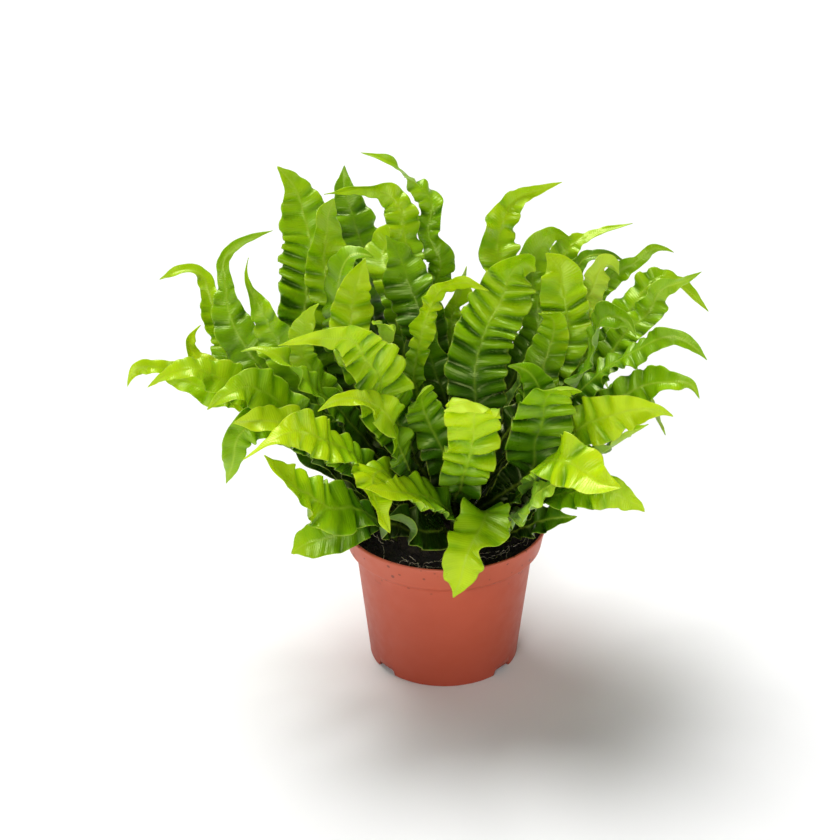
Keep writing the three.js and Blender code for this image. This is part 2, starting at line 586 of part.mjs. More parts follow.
/** A moved rib's points, from its foot in the crown to its tip. */
function ribPoints(rib, move, site) {
  const shifted = rib.map((place, i) => {
    const moved = place.clone().addScaledVector(SIGHT, i === 0 ? move.farLow : move.far);
    moved.x += i === 0 ? move.sideLow : move.side;
    return moved;
  });
  const foot = vector(site.x, site.y, crownSurface(site.x, site.y) - STIPE_DEPTH);
  const out = shifted[0].clone().sub(foot).normalize();
  const rise = foot.clone().addScaledVector(out.add(FLAT).normalize(), 3 * STIPE_DEPTH);
  return [foot, rise, ...shifted];
}

/** One try at a blade on a site, with a given move: its frames, and the room that it needs. */
function tryBlade({ rib, widths, face, turn }, move, site) {
  const points = ribPoints(rib, move, site);
  const chord = points.at(-2).clone().sub(points[1]).normalize();
  const halves = widths.map((width) => (width * move.narrow) / 2);
  const frames = ribFrames(points, [STIPE_HALF_WIDTH, STIPE_HALF_WIDTH, ...halves, 0],
    face.clone().applyAxisAngle(chord, degrees(move.roll)), turn);
  const room = toSolid(bladeGeometry(frames, CLEARANCE));
  const upperRoom = toSolid(bladeGeometry(frames.slice(SHARED_RINGS), CLEARANCE));
  return { site, frames, room, upperRoom, box: room.boundingBox(), crossed: 0 };
}

const boxesMeet = (a, b) => [0, 1, 2].every((k) => a.min[k] < b.max[k] && b.min[k] < a.max[k]);

/** Whether blades with the same foot make one solid, without a hollow between them. */
function growTogether(blades) {
  const solids = blades.map(({ frames }) => toSolid(bladeGeometry(frames)));
  return solids.reduce((a, b) => a.add(b)).decompose().length === 1;
}

/**
 * The try at a blade that crosses the others the least, and the first that crosses none. It may
 * only meet its siblings, the blades with the same foot, low down.
 */
function placeBlade(blade, seed, siteFor, others, siblings = []) {
  let best = null;
  for (const move of movesFor(seed)) {
    const attempt = tryBlade(blade, move, siteFor(move));
    for (const sibling of siblings) {
      attempt.crossed += attempt.upperRoom.intersect(sibling.upperRoom).volume();
    }
    for (const other of others) {
      if (boxesMeet(other.box, attempt.box)) {
        attempt.crossed += attempt.room.intersect(other.room).volume();
      }
      if (best && attempt.crossed >= best.crossed) break;
    }
    if (attempt.crossed === 0 && !growTogether([attempt, ...siblings])) attempt.crossed = Infinity;
    if (!best || attempt.crossed < best.crossed) best = attempt;
    if (best.crossed === 0) break;
  }
  return best;
}

/**
 * Places every frond's first blade on a free site, with the smallest move that stands clear of the
 * others, and then the blades that share its foot, where there is room for them.
 */
function placeFronds(fronds) {
  const free = giveSites(fronds);
  const placed = [];
  fronds.forEach((frond, index) => {
    const siteFor = ({ siteShift }) => (
      nearest([frond.site, ...free], frond.site.clone().add(siteShift)));
    const best = placeBlade(frond.blades[0], index + 1, siteFor, placed);
    if (best.site !== frond.site) free.splice(free.indexOf(best.site), 1, frond.site);
    placed.push({ ...best, frond });
  });
  fronds.forEach((frond, index) => {
    const { site } = placed[index];
    frond.blades.slice(1).forEach((blade, k) => {
      const others = placed.filter((other) => other.frond !== frond);
      const siblings = placed.filter((other) => other.frond === frond);
      const best = placeBlade(blade, SHARED_SEED + 10 * index + k, () => site, others, siblings);
      if (best.crossed === 0) placed.push({ ...best, frond });
    });
  });
  return fronds.map((frond) => {
    const ribs = placed.filter((blade) => blade.frond === frond).map(({ frames }) => frames);
    return { ...frond, ribs };
  });
}

// ---- the whole plant ----

const plant = new THREE.Group();
addMesh(plant, 'pot', makePot(), TERRACOTTA, 0.6);
const named = FRONDS.map(([name, rib, widths, face, turn, tone]) => {
  const others = INNER_BLADES.filter(([shared]) => shared === name);
  const blades = others.map(([, ...blade]) => bladeOf(...blade));
  return { name, blades: [bladeOf(rib, widths, face, turn), ...blades], tone };
});
const fronds = placeFronds([...named, ...backFronds()]);
const holes = fronds.flatMap(({ ribs }) => ribs.map(stipeHole));
addMesh(plant, 'potting_soil', makeSoil(holes), PEAT, 0.95);
addMesh(plant, 'crown', makeCrown(holes), CROWN_BROWN, 0.9);
for (const { name, tone, ribs } of fronds) {
  const solid = ribs.map((frames) => toSolid(bladeGeometry(frames))).reduce((a, b) => a.add(b));
  addMesh(plant, `frond_${name}`, toGeometry(solid), LEAF_GREENS[tone], 0.45);
}

export default plant;
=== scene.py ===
"""A fern with pleated, curly fronds in a plastic nursery pot: its looks.

Metres, +Z up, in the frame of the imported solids. The origin is on the pot's axis, on the floor,
and -Y is the side that is seen first. Each frond's solid holds a coarse waved blade, or a few.
Their ribs and widths are read from it, and a finer blade with pleats, a raised midrib and veins
is built along each rib.
"""

import itertools
import json
import math
from collections import namedtuple

import bpy
import numpy as np
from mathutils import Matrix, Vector

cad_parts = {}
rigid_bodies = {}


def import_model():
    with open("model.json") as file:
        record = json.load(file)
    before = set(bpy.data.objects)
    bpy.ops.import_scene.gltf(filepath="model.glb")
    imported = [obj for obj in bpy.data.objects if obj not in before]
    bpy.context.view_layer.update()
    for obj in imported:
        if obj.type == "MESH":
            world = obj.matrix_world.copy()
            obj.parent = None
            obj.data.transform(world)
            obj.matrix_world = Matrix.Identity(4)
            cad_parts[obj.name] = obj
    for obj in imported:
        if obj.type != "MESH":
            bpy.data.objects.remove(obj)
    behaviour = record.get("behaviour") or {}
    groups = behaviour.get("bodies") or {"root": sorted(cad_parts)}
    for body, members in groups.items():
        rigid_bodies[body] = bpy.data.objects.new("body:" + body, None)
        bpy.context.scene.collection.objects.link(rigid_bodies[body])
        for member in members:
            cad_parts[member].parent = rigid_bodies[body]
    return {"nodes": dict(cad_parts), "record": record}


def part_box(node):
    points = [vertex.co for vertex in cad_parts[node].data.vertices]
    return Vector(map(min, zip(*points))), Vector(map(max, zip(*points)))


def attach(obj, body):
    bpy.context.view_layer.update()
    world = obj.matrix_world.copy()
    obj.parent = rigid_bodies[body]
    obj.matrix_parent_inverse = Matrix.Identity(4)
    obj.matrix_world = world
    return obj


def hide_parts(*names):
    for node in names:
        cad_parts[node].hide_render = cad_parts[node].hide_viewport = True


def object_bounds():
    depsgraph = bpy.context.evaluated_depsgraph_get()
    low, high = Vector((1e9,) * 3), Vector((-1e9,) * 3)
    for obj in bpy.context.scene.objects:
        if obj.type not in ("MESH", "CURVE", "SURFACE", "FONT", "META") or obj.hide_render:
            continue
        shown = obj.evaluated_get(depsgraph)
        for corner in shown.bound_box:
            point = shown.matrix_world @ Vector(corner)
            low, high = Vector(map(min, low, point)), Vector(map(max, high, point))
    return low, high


for thing in list(bpy.data.objects):
    bpy.data.objects.remove(thing)

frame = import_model()
CAD_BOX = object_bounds()
MM = 0.001
TURN = 2 * math.pi

# ---- camera and stage ----

LENS = 85
ELEVATION = math.radians(27)
DISTANCE = 1.17
TARGET = (-0.0148, 0, 0.158)
FLOOR_SIZE = 60
HORIZON = 1.0  # the studio's light, level all round
ZENITH = 0.09  # and from above
FALL_OFF = 5.0  # how fast it dims from the one to the other
PALE = (0.93, 0.93, 0.93)
# each light's name, where it comes from, how wide it looks in degrees, and its strength
LIGHTS = [
    ("key", (-0.27, 0.40, 1.0), 36, 3.15),
    ("front_fill", (-0.25, -1.0, 0.45), 28, 1.05),
    ("right_fill", (1.0, -0.35, 0.22), 40, 0.5),
]

# ---- reading a frond's solid, in millimetres ----

WELD = 1e-3  # points that round to the same multiple of this are one point
RING = 6  # points in each ring of a blade's solid
LEAST_RINGS = 2  # a blade's tip is followed by at least this many rings
FOOT_REACH = 3.5  # a frond's foot is made of the points less than this above its lowest one
BLADE_START = 6.0  # a rib that starts this far from the foot is led down to it
STIPE_HALF = 1.7  # half the width of the stalk there

# ---- fine blades, in millimetres ----

STEP = 1.2  # between a blade's rows
COLUMNS = (0, 0.04, 0.105, 0.19, 0.3, 0.42, 0.55, 0.69, 0.83, 0.955, 1)  # from the rib to a margin
SMOOTHED_ROWS = 3  # a row's width is a mean over this many rows on either side
LEAST_HALF = 0.15  # half the width at the very tip

# Stretches of a blade, as parts of its length, over which something comes or goes.
GROWN = (0.10, 0.26)  # the relief and the winding come
STILL = (0.8, 1)  # the winding goes
TAIL = (0.76, 0.96)  # the curled tip comes
BODY_START = (0.08, 0.25)  # the width that a look asks for comes
BODY_END = (0.5, 0.7)  # and goes

# Half the width of a blade that counts as narrow and of one that counts as wide. The pairs
# under it are for the two, and a blade between them has something between.
HALVES = (6, 14)
PLEAT_LENGTHS = (7.5, 10.0)
RUFFLE_LENGTHS = (7.0, 11.0)
SCALLOPS = (0.20, 0.07)  # how far the margins swell and pinch, as a share of the width
TWISTS = (math.radians(34), math.radians(15))

PLEAT_HEIGHT = 3.0
PLEAT_SHARES = (0.55, 1)  # of that height, on a frond whose look doesn't say
PLEAT_VARIATION = (0.62, 1.45)  # the shortest and the longest pleat, as shares of the usual one
VALLEY = 0.25  # makes the crests broad and the valleys narrow
UNEVENNESS = 0.5  # how much their height varies along a blade, as a share of it
TAIL_LOSS = 0.8  # the share of their height that the tail loses
PLEAT_START = 2.6  # how far from the rib the pleats have mostly grown
INNER_PLEATS = 0.45  # their height by the rib, as a share of that at the margins
PLEATED_HALF = 10.0  # narrower blades have lower pleats
STEEPNESS = 0.26  # of the pleats' flanks
DRIFT = 1.1  # how far the pleats of the two sides drift along the margins, in radians
TEETH = 0.04  # how far the pleats push the margins out, as a share of the width
CREASES = 0.34  # the height of finer creases between the pleats, as a share of theirs
# How fast these change along a blade, in pleat lengths.
DRIFT_SPACING = 2.2
SCALLOP_SPACING = 0.8
CREASE_SPACING = 0.24

VEIN_SLANT = 0.30  # pleats and veins lean towards the tip
VEIN_SPACING = 1.35
RUFFLE = 4.0  # how far the margins wave, on blades wider than RUFFLED_HALF
RUFFLED_HALF = 7.0
WINDING = 1.8  # how far the rib winds from side to side
NODDING = 0.6 * WINDING  # and up and down
WINDING_SPACING = 16.0
TAIL_TWIST = math.radians(80)
CUP = 0.10  # how far the margins are raised, as a share of half the width
TAIL_CUP = 0.16  # and what the tail adds to it
# How closely these keep to the margins: powers of the place across, from 0 at the rib to 1.
CUP_POWER = 1.3
RUFFLE_POWER = 1.6
CREASE_POWER = 4
EDGE_POWER = 6

BLADE_HALF_THICKNESS = 0.24
RIB_ABOVE = 0.4  # how far the rib stands out at the foot, on the upper face
RIB_BELOW = 1.0  # and on the lower one
RIB_TAPER = 0.7  # the share of this that is lost by the tip
RIB_WIDTH = 0.62  # to either side, where RIB_SPREAD and what the taper leaves add up to 1
RIB_SPREAD = 0.6  # with this, the rib narrows less than it sinks
RIB_HALF = 2.0  # blades have the whole rib where half their width is more than this
RIB_PALENESS = (0.2, 1)  # how much of its pale colour a blade's rib shows, at least and at most

# The fronds that are seen from below: their paler face is turned to the front.
SEEN_FROM_BELOW = {"frond_silver_under", "frond_right_under"}
# How a frond differs from the rest: the height of its pleats and its margins' waves as shares
# of the usual, how its tip is turned, from -1 to 1, how much paler or darker it is, and where
# along it one margin has a notch: the place and the side, which is -1 or 1. Then its width as a
# share of its solid's, and the least that half its width is between its stalk and its middle.
Look = namedtuple("Look", "pleats waves tip tone notch width body",
                  defaults=(None, 1, None, 0, None, 1, 0))
BLADE_NOTCH_DEPTH = 0.62  # as a share of half the width
BLADE_NOTCH_LENGTH = 0.045  # as a part of the blade's length
LOOKS = {
    "frond_centre_big": Look(1.1, 1, 0.2, 0.05),
    "frond_front_curl": Look(1.1, 0.5, -0.7, 0.12),
    "frond_front_right": Look(1.1, 0.8, 0.1, 0.04),
    "frond_front_hanging": Look(0.35, 1.9, 0.1, 0.2, (0.74, -1)),
    "frond_front_left_bright": Look(0.6, 1.2, 0.1, 0.12),
    "frond_big_low_left": Look(0.45, 1, 0.2, 0.17),
    "frond_rim_left": Look(0.4, 0.8, 0.2, 0.2),
    "frond_left_hanging": Look(0.5, 1, 0.0, 0.15),
    "frond_left_bright": Look(0.55, 1.1, 0.3),
    "frond_left_pale": Look(0.5, 1, 0.2),
    "frond_left_droop": Look(0.5, 1, 0.2),
    "frond_left_fold": Look(0.5, 1.2, 0.3, 0.04),
    "frond_right_bright": Look(0.7, 1, 0.2),
    "frond_right_arch": Look(0.6, 1.2, 0.3),
    "frond_right_low": Look(0.6, 1, 0.3, 0.12),
    "frond_right_dark": Look(0.9, 1.2, 0.2, 0.3),
    "frond_tall_left": Look(0.8, 0.8, 0.4),
    "frond_bright_rib": Look(1.1, 1, 0.2),
    "frond_right_corrugated": Look(1.1, 1, 0.2),
    "frond_right_under": Look(1.2, 0.7, 0.1, 0.12, width=1.2, body=10),
    "frond_far_left_curl": Look(0.5, 1.4, 0.3, 0.12),
    "frond_left_swan": Look(0.6, 1.3, 0.6),
    "frond_far_left_front": Look(0.4, 1.3, 0.2, 0.1),
    "frond_far_left_back": Look(0.4, 1.3, 0.2),
    "frond_left_ribbon": Look(0.45, 1.3, 0.2),
    "frond_left_thorn": Look(0.6, 1.3, 0.2),
    "frond_bright_tip": Look(0.5, 1.2, 0.2),
    "frond_big_bright": Look(0.95, 0.9, 0.1),
    "frond_top_twist": Look(0.8, 1.5, 0.2),
    "frond_back_tall_right": Look(0.8, 1.6, 0.2, 0.06),
    "frond_right_bend": Look(0.6, 1.2, 0.2, -0.45),
    "frond_far_right_mid": Look(0.6, 1.3, 0.4, -0.36),
    "frond_far_right_twist": Look(0.6, 1.2, 0.6, -0.25),
    "frond_pale_turn": Look(0.5, 1.2, 0.3, -0.2),
    "frond_right_ribbon": Look(0.5, 1.3, 0.4, -0.15),
    "frond_right_mid": Look(0.8, 1, 0.2, -0.12),
    "frond_far_right_low": Look(0.6, 1.3, 0.3, -0.08),
}
FIRST_FROND_SEED = 100

# ---- pot, soil and crown, in millimetres ----

POT_TURNS = 288
POT_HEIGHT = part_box("pot")[1].z / MM
RIM_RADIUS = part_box("pot")[1].x / MM
LIP = 1.0  # the radius of the rounded rim
LIP_DEPTH = 3  # the wall's inside leans from this far under the rim
COLLAR_BOTTOM = 77
COLLAR_BOTTOM_RADIUS = RIM_RADIUS - 3.2
LEDGE_BOTTOM = 73
BODY_TOP_RADIUS = RIM_RADIUS - 8.2
BODY_HEIGHTS = (3, 8, 20, 35, 50, 62, 70)
FOOT_RADIUS = RIM_RADIUS - 16.4
WALL = 1.3
FLOOR_UNDERSIDE = 5
FLOOR_FILLET = 0.6
FOOT_RING_WIDTH = 2.4
FOOT_ROUND = 0.9  # the radius of the foot's outer edge
FOOT_BEVEL = 0.4  # of its inner edge
PAD_RADIUS = 13
FOOT_NOTCHES = (-39, -141, 39, 141)  # where the foot ring is cut away, in degrees
FOOT_NOTCH_HALF = 9.5  # degrees
FOOT_NOTCH_HEIGHT = 4
DRAIN_COUNT = 6
DRAIN_RADIUS = 3.5
DRAIN_CIRCLE = 28
DRAIN_SIDES = 32

SOIL_TOP = 83
SOIL_GAP = 0.4  # to the pot
SOIL_TURNS = 200
SOIL_RINGS = 46
RING_CROWDING = 0.8  # below 1, the rings are closer together towards the pot
LUMP_POINTS = (0.75, 1.25)  # how far a lump's points lie from its middle, as shares of its size
LUMP_STRETCH = (0.6, 1.3)  # how much it is stretched each way
CRUMB_SIZES = (0.5, 1.6)
CRUMB_EDGE = 1.5  # how far the crumbs keep from the pot
ROOTLET_EDGE = 2.5  # and the rootlets
ROOTLET_HEADINGS = (0.9, 2.2)  # how far a rootlet turns away from the pot's axis, in radians
ROOTLET_STEPS = (8, 22)
ROOTLET_STEP = 1.1
ROOTLET_BEND = 0.45  # the most that it turns at a step, in radians
ROOTLET_RADII = (0.16, 0.32)
ROOTLET_TAPER = 0.4  # what is left of its radius at its end
CROWN_CENTRE = (0, 6)
CROWN_RADIUS = 38
CROWN_DOME = 8
CROWN_SUNK = 0.6  # how far the dome's edge lies under the soil's top
CROWN_DEPTH = 6
CROWN_TURNS = 120
CROWN_RINGS = 30

# ---- colours ----

MOST_NOISE = (0.3, 0.7)  # nearly all of a noise's values lie between these
# Painted shade darkens the leaves towards the heart.
HEART = (0, 0.006, 0.083)  # the crown's middle, in metres
LEAF_TONES = {
    "frond_bright": 0.60,
    "frond_mid": 0.405,
    "frond_dark": 0.17,
}
# What a leaf's tone follows: the value, the range of it that counts, and what is added to the tone
# at the range's two ends. The distance is from the heart, in metres, and its row paints shade on the
# plant's inside.
TONE_CHANGES = [
    # darker towards the foot: partly the leaves' own darker bases, partly painted shade
    ("along", 0.10, 0.55, -0.44, 0.0),
    ("along", 0.45, 0.95, 0.0, 0.28),
    # painted shade: darker nearer the heart, inside the plant
    ("distance", 0.065, 0.15, -0.38, 0.03),
    # painted shade in the pleats' valleys
    ("pleat", -0.9, -0.1, -0.3, 0.0),
    # painted highlight on the pleats' crests
    ("pleat", -0.1, 0.6, 0.0, 0.08),
    ("blotch", *MOST_NOISE, -0.08, 0.08),
]
TINT = 0.07  # how much paler or darker a blade may be than its frond's look
LEAF_COLOURS = [
    (0.0, (0.004, 0.018, 0.0005)),
    (0.3, (0.045, 0.150, 0.001)),
    (0.6, (0.240, 0.460, 0.001)),
    (1.0, (0.600, 0.780, 0.004)),
]
VEIN_GREEN = (0.40, 0.58, 0.03)
VEIN_SHARE = 0.06
UNDER_GREEN = (0.28, 0.42, 0.09)
UNDER_SHARE = 0.65
RIB_GREEN = (0.45, 0.62, 0.05)
MARGIN_GREEN = (0.52, 0.66, 0.06)
STALK_BROWN = (0.035, 0.045, 0.010)
GLOSS_GREEN = (0.85, 1.0, 0.35, 1.0)
LEAF_ROUGHNESS = (0.24, 0.38)
UNDER_ROUGHNESS = 0.16  # what the lower face adds

CLOUD_REDS = ((0.47, 0.073, 0.029), (0.53, 0.092, 0.041))
# painted shade for the pot's foot
PAINTED_FOOT_SHADE = (0.30, 0.036, 0.012)
# painted light for the collar
PAINTED_COLLAR_LIGHT = (0.58, 0.135, 0.070)
SPECK_BROWN = (0.12, 0.022, 0.010)
SPECK_SHARE = 0.7
POT_ROUGHNESS = (0.42, 0.56)
PEAT_BROWNS = [
    (0.3, (0.004, 0.003, 0.002)),
    (0.55, (0.014, 0.009, 0.006)),
    (0.72, (0.045, 0.028, 0.016)),
]
CROWN_BROWNS = [
    (0.3, (0.006, 0.004, 0.002)),
    (0.6, (0.03, 0.019, 0.01)),
    (0.8, (0.07, 0.045, 0.022)),
]
ROOTLET_TANS = [
    (0.35, (0.40, 0.30, 0.18)),
    (0.55, (0.90, 0.80, 0.62)),
]


# ---- small helpers ----

def smoothstep(low, high, value):
    """0 below low, 1 above high, and a smooth rise between them."""
    part = np.clip((value - low) / (high - low), 0, 1)
    return part * part * (3 - 2 * part)


def blend(pair, share):
    """A value between a pair's two, at a share of the way."""
    return pair[0] * (1 - share) + pair[1] * share


def spline(knots, values, at):
    """A natural cubic spline through rows of values at the knots, read at other places."""
    gaps = np.diff(knots)
    count = len(knots)
    system = np.eye(count)
    slopes = np.zeros_like(values)
    for i in range(1, count - 1):
        system[i, i - 1:i + 2] = gaps[i - 1], 2 * (gaps[i - 1] + gaps[i]), gaps[i]
        after = (values[i + 1] - values[i]) / gaps[i]
        before = (values[i] - values[i - 1]) / gaps[i - 1]
        slopes[i] = 6 * (after - before)
    bends = np.linalg.solve(system, slopes)
    i = np.clip(np.searchsorted(knots, at) - 1, 0, count - 2)
    gap = gaps[i][:, None]
    left = (knots[i + 1] - at)[:, None] / gap
    right = 1 - left
    bent = (left ** 3 - left) * bends[i] + (right ** 3 - right) * bends[i + 1]
    return left * values[i] + right * values[i + 1] + bent * gap * gap / 6


def unit(rows):
    """Vectors of length 1 with the directions of these."""
    return rows / np.linalg.norm(rows, axis=-1, keepdims=True)


def circle(radius, turns, centre=(0, 0)):
    """The x and y of points round a circle."""
    angles = TURN * np.arange(turns) / turns
    return centre[0] + radius * np.cos(angles), centre[1] + radius * np.sin(angles)


def joined(shells):
    """One shell, which is points and faces, made of many."""
    points = []
    faces = []
    total = 0
    for shell_points, shell_faces in shells:
        points.append(shell_points)
        faces += [[v + total for v in face] for face in shell_faces]
        total += len(shell_points)
    return np.vstack(points), faces


def capped(rings, top, bottom):
    """A closed shell over rings of points, from a top point outwards and down to a bottom one."""
    turns = len(rings[0])
    last = (len(rings) - 1) * turns
    points = np.vstack([*rings, [top, bottom]])
    over, under = len(points) - 2, len(points) - 1
    faces = []
    for i in range(turns):
        there = (i + 1) % turns
        faces.append((over, i, there))
        for start in range(0, last, turns):
            below = start + turns
            faces.append((start + i, below + i, below + there, start + there))
        faces.append((last + i, under, last + there))
    return points, faces


def add_mesh(name, points, faces, attributes=None, smooth=True):
    """A new mesh object from points in millimetres, with named numbers on its points."""
    mesh = bpy.data.meshes.new(name)
    mesh.from_pydata((np.asarray(points) * MM).tolist(), [], [list(map(int, f)) for f in faces])
    for key, values in (attributes or {}).items():
        attribute = mesh.attributes.new(key, "FLOAT", "POINT")
        attribute.data.foreach_set("value", np.asarray(values, np.float32))
    mesh.polygons.foreach_set("use_smooth", [smooth] * len(mesh.polygons))
    mesh.update()
    thing = bpy.data.objects.new(name, mesh)
    bpy.context.scene.collection.objects.link(thing)
    return thing


def dress(thing, material, slot, *nodes):
    """Gives a piece its material, hangs it on the root body and hides the solids that it stands for.
    """
    thing.data.materials.append(material)
    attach(thing, "root")
    if nodes:
        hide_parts(*nodes)


# ---- material nodes ----

class Tree:
    """The node tree of a material or a world. Most methods make a node and give back an output."""

    def __init__(self, owner):
        owner.use_nodes = True
        self.owner = owner
        self.nodes = owner.node_tree.nodes
        self.links = owner.node_tree.links

    def make(self, kind, inputs=(), **settings):
        node = self.nodes.new(kind)
        for key, value in settings.items():
            setattr(node, key, value)
        for key, value in dict(inputs).items():
            self.feed(node.inputs[key], value)
        return node

    def feed(self, socket, value):
        if isinstance(value, bpy.types.NodeSocket):
            self.links.new(value, socket)
        else:
            socket.default_value = value

    def attribute(self, name):
        return self.make("ShaderNodeAttribute", attribute_name=name).outputs["Fac"]

    def place(self, kind="Object"):
        return self.make("ShaderNodeTexCoord").outputs[kind]

    def height(self, place):
        return self.make("ShaderNodeSeparateXYZ", {0: place}).outputs[2]

    def scaled(self, place, scale):
        return self.make("ShaderNodeMapping", {"Vector": place, "Scale": scale}).outputs[0]

    def noise(self, place, scale, detail=3.0, roughness=0.55):
        inputs = {"Vector": place, "Scale": scale, "Detail": detail, "Roughness": roughness}
        return self.make("ShaderNodeTexNoise", inputs).outputs[0]

    def cells(self, place, scale):
        """How far each place is from the middle of its cell."""
        node = self.make("ShaderNodeTexVoronoi", {"Vector": place, "Scale": scale})
        return node.outputs["Distance"]

    def compute(self, operation, a, b=0.0, **settings):
        return self.make("ShaderNodeMath", {0: a, 1: b}, operation=operation, **settings).outputs[0]

    def plus(self, a, b):
        return self.compute("ADD", a, b)

    def times(self, a, b):
        return self.compute("MULTIPLY", a, b)

    def distance(self, place, point):
        node = self.make("ShaderNodeVectorMath", {0: place, 1: point}, operation="DISTANCE")
        return node.outputs["Value"]

    def between(self, value, low, high, to_low=0.0, to_high=1.0):
        """Turns the range from low to high into the one from to_low to to_high, and stops there."""
        inputs = {0: value, 1: low, 2: high, 3: to_low, 4: to_high}
        return self.make("ShaderNodeMapRange", inputs).outputs[0]

    def ramp(self, value, stops):
        node = self.make("ShaderNodeValToRGB", {0: value})
        elements = node.color_ramp.elements
        while len(elements) < len(stops):
            elements.new(0.5)
        for element, (position, colour) in zip(elements, stops):
            element.position = position
            element.color = (*colour, 1)
        return node.outputs[0]

    def mix(self, share, a, b):
        """The first colour, with a share of the second over it."""
        node = self.make("ShaderNodeMix", data_type="RGBA")
        self.feed(node.inputs[0], share)
        for socket, value in ((node.inputs[6], a), (node.inputs[7], b)):
            self.feed(socket, value if isinstance(value, bpy.types.NodeSocket) else (*value, 1))
        return node.outputs[2]

    def bump(self, height, distance, strength=1.0, below=None):
        inputs = {"Height": height, "Distance": distance, "Strength": strength}
        if below is not None:
            inputs["Normal"] = below
        return self.make("ShaderNodeBump", inputs).outputs[0]

    def finish(self, **inputs):
        """Feeds the shader, whose inputs are named with _ for a space."""
        for key, value in inputs.items():
            name = key.replace("_", " ")
            colour = isinstance(value, tuple) and len(value) == 3 and "Color" in name
            self.feed(self.nodes["Principled BSDF"].inputs[name], (*value, 1) if colour else value)
        return self.owner


# ---- a frond's solid ----

Rib = namedtuple("Rib", "points normals halves")


def welded(mesh):
    """A mesh's points in millimetres, merged where faces share them, and each one's neighbours."""
    raw = np.empty(len(mesh.vertices) * 3)
    mesh.vertices.foreach_get("co", raw)
    raw = raw.reshape(-1, 3) / MM
    keys = np.round(raw / WELD).astype(np.int64)
    _, first, index = np.unique(keys, axis=0, return_index=True, return_inverse=True)
    index = index.ravel()
    neighbours = [set() for _ in first]
    for polygon in mesh.polygons:
        corners = [int(index[v]) for v in polygon.vertices]
        for a, b in zip(corners, corners[1:] + corners[:1]):
            if a != b:
                neighbours[a].add(b)
                neighbours[b].add(a)
    return raw[first], neighbours


def walk(tip, neighbours):
    """The rings of a blade's solid, from the one next to its tip towards its foot."""
    seen = {tip}
    level = {tip}
    rings = []
    while True:
        level = set().union(*(neighbours[v] for v in level)) - seen
        if len(level) != RING:
            return rings
        seen |= level
        rings.append(sorted(level))


def ring_parts(ring):
    """A ring's rib and margins, the middles of its three pairs of upper and lower points, and
    the rib's normal, up or down."""
    lengths = {
        (a, b): np.linalg.norm(ring[a] - ring[b])
        for a, b in itertools.combinations(range(RING), 2)
    }
    pairs = []
    for pair in sorted(lengths, key=lengths.get):
        if not any(set(pair) & set(other) for other in pairs):
            pairs.append(pair)
    first, second, rib = pairs
    middle = (ring[rib[0]] + ring[rib[1]]) / 2
    left = (ring[first[0]] + ring[first[1]]) / 2
    right = (ring[second[0]] + ring[second[1]]) / 2
    return middle, left, right, unit(ring[rib[0]] - ring[rib[1]])


def read_rib(points, tip, rings):
    """The rib of one blade, from its foot to its tip, with the upper face's normals."""
    parts = [ring_parts(points[ring]) for ring in reversed(rings)]
    middles = np.array([p[0] for p in parts])
    normals = np.array([p[3] for p in parts])
    for i in range(1, len(parts)):
        if normals[i] @ normals[i - 1] < 0:
            normals[i] *= -1
    halves = np.array([np.linalg.norm(p[2] - p[1]) / 2 for p in parts])
    lifts = np.array([((p[1] + p[2]) / 2 - p[0]) @ n for p, n in zip(parts, normals)])
    steady = (lifts[1:] + lifts[:-1]).sum()  # neighbouring waves cancel, the cup stays
    if steady < 0:
        normals = -normals
    return Rib(np.vstack([middles, points[tip]]), np.vstack([normals, normals[-1]]),
               np.append(halves, 0.0))


def led_down(rib, foot):
    """The rib with its foot put back, where the blades of a node have grown into one there."""
    if np.linalg.norm(rib.points[0] - foot) < BLADE_START:
        return rib
    return Rib(np.vstack([foot, rib.points]), np.vstack([rib.normals[0], rib.normals]),
               np.append(STIPE_HALF, rib.halves))


def read_ribs(node):
    """The ribs of a frond's blades. A node has one blade, or a few that share a foot."""
    points, neighbours = welded(frame["nodes"][node].data)
    foot = points[points[:, 2] < points[:, 2].min() + FOOT_REACH].mean(0)
    walks = []
    for tip, around in enumerate(neighbours):
        if len(around) == RING:
            rings = walk(tip, neighbours)
            if len(rings) >= LEAST_RINGS:
                walks.append((tip, rings))
    walks.sort(key=lambda found: -len(found[1]))
    ribs = []
    used = set()
    for tip, rings in walks:
        members = {tip}.union(*map(set, rings))
        if not members & used:
            used |= members
            ribs.append(led_down(read_rib(points, tip, rings), foot))
    return ribs


# ---- fine blades ----

Rows = namedtuple("Rows", "along part half wide grown tail")
Relief = namedtuple("Relief", "spread lift lean pleat")


def wandering(draw, at, spacing):
    """A smooth random line between -1 and 1 that turns about every spacing."""
    knots = np.arange(at[0] - spacing, at[-1] + 3 * spacing, spacing)
    return np.clip(spline(knots, draw.uniform(-1, 1, (len(knots), 1)), at)[:, 0], -1, 1)


def pleat_phase(draw, at, length, pleat_length):
    """Where places on a blade lie in its row of pleats, in radians, pleat by pleat."""
    count = int(1.8 * length / pleat_length) + 9  # enough even if all are short
    ends = np.cumsum(pleat_length * draw.uniform(*PLEAT_VARIATION, count))
    before = 3 * pleat_length  # so that the row begins below the foot
    return TURN * np.interp(at, ends - before, np.arange(count))


def fold(phase):
    """A pleat's section: a broad crest and a narrow valley."""
    return np.cos(phase) - VALLEY * np.cos(2 * phase)


def smoothed(values, count):
    """A row of numbers, each replaced by the mean of those round it."""
    padded = np.pad(values, count, mode="edge")
    return np.convolve(padded, np.ones(2 * count + 1) / (2 * count + 1), mode="valid")


def square_to(axes, vectors):
    """What is left of the vectors across their axes, with length 1."""
    return unit(vectors - (vectors * axes).sum(1, keepdims=True) * axes)


def turned_about(vectors, axes, angles):
    """Vectors that are square to their axes, turned about them."""
    return (vectors * np.cos(angles)[:, None]
            + np.cross(axes, vectors) * np.sin(angles)[:, None])


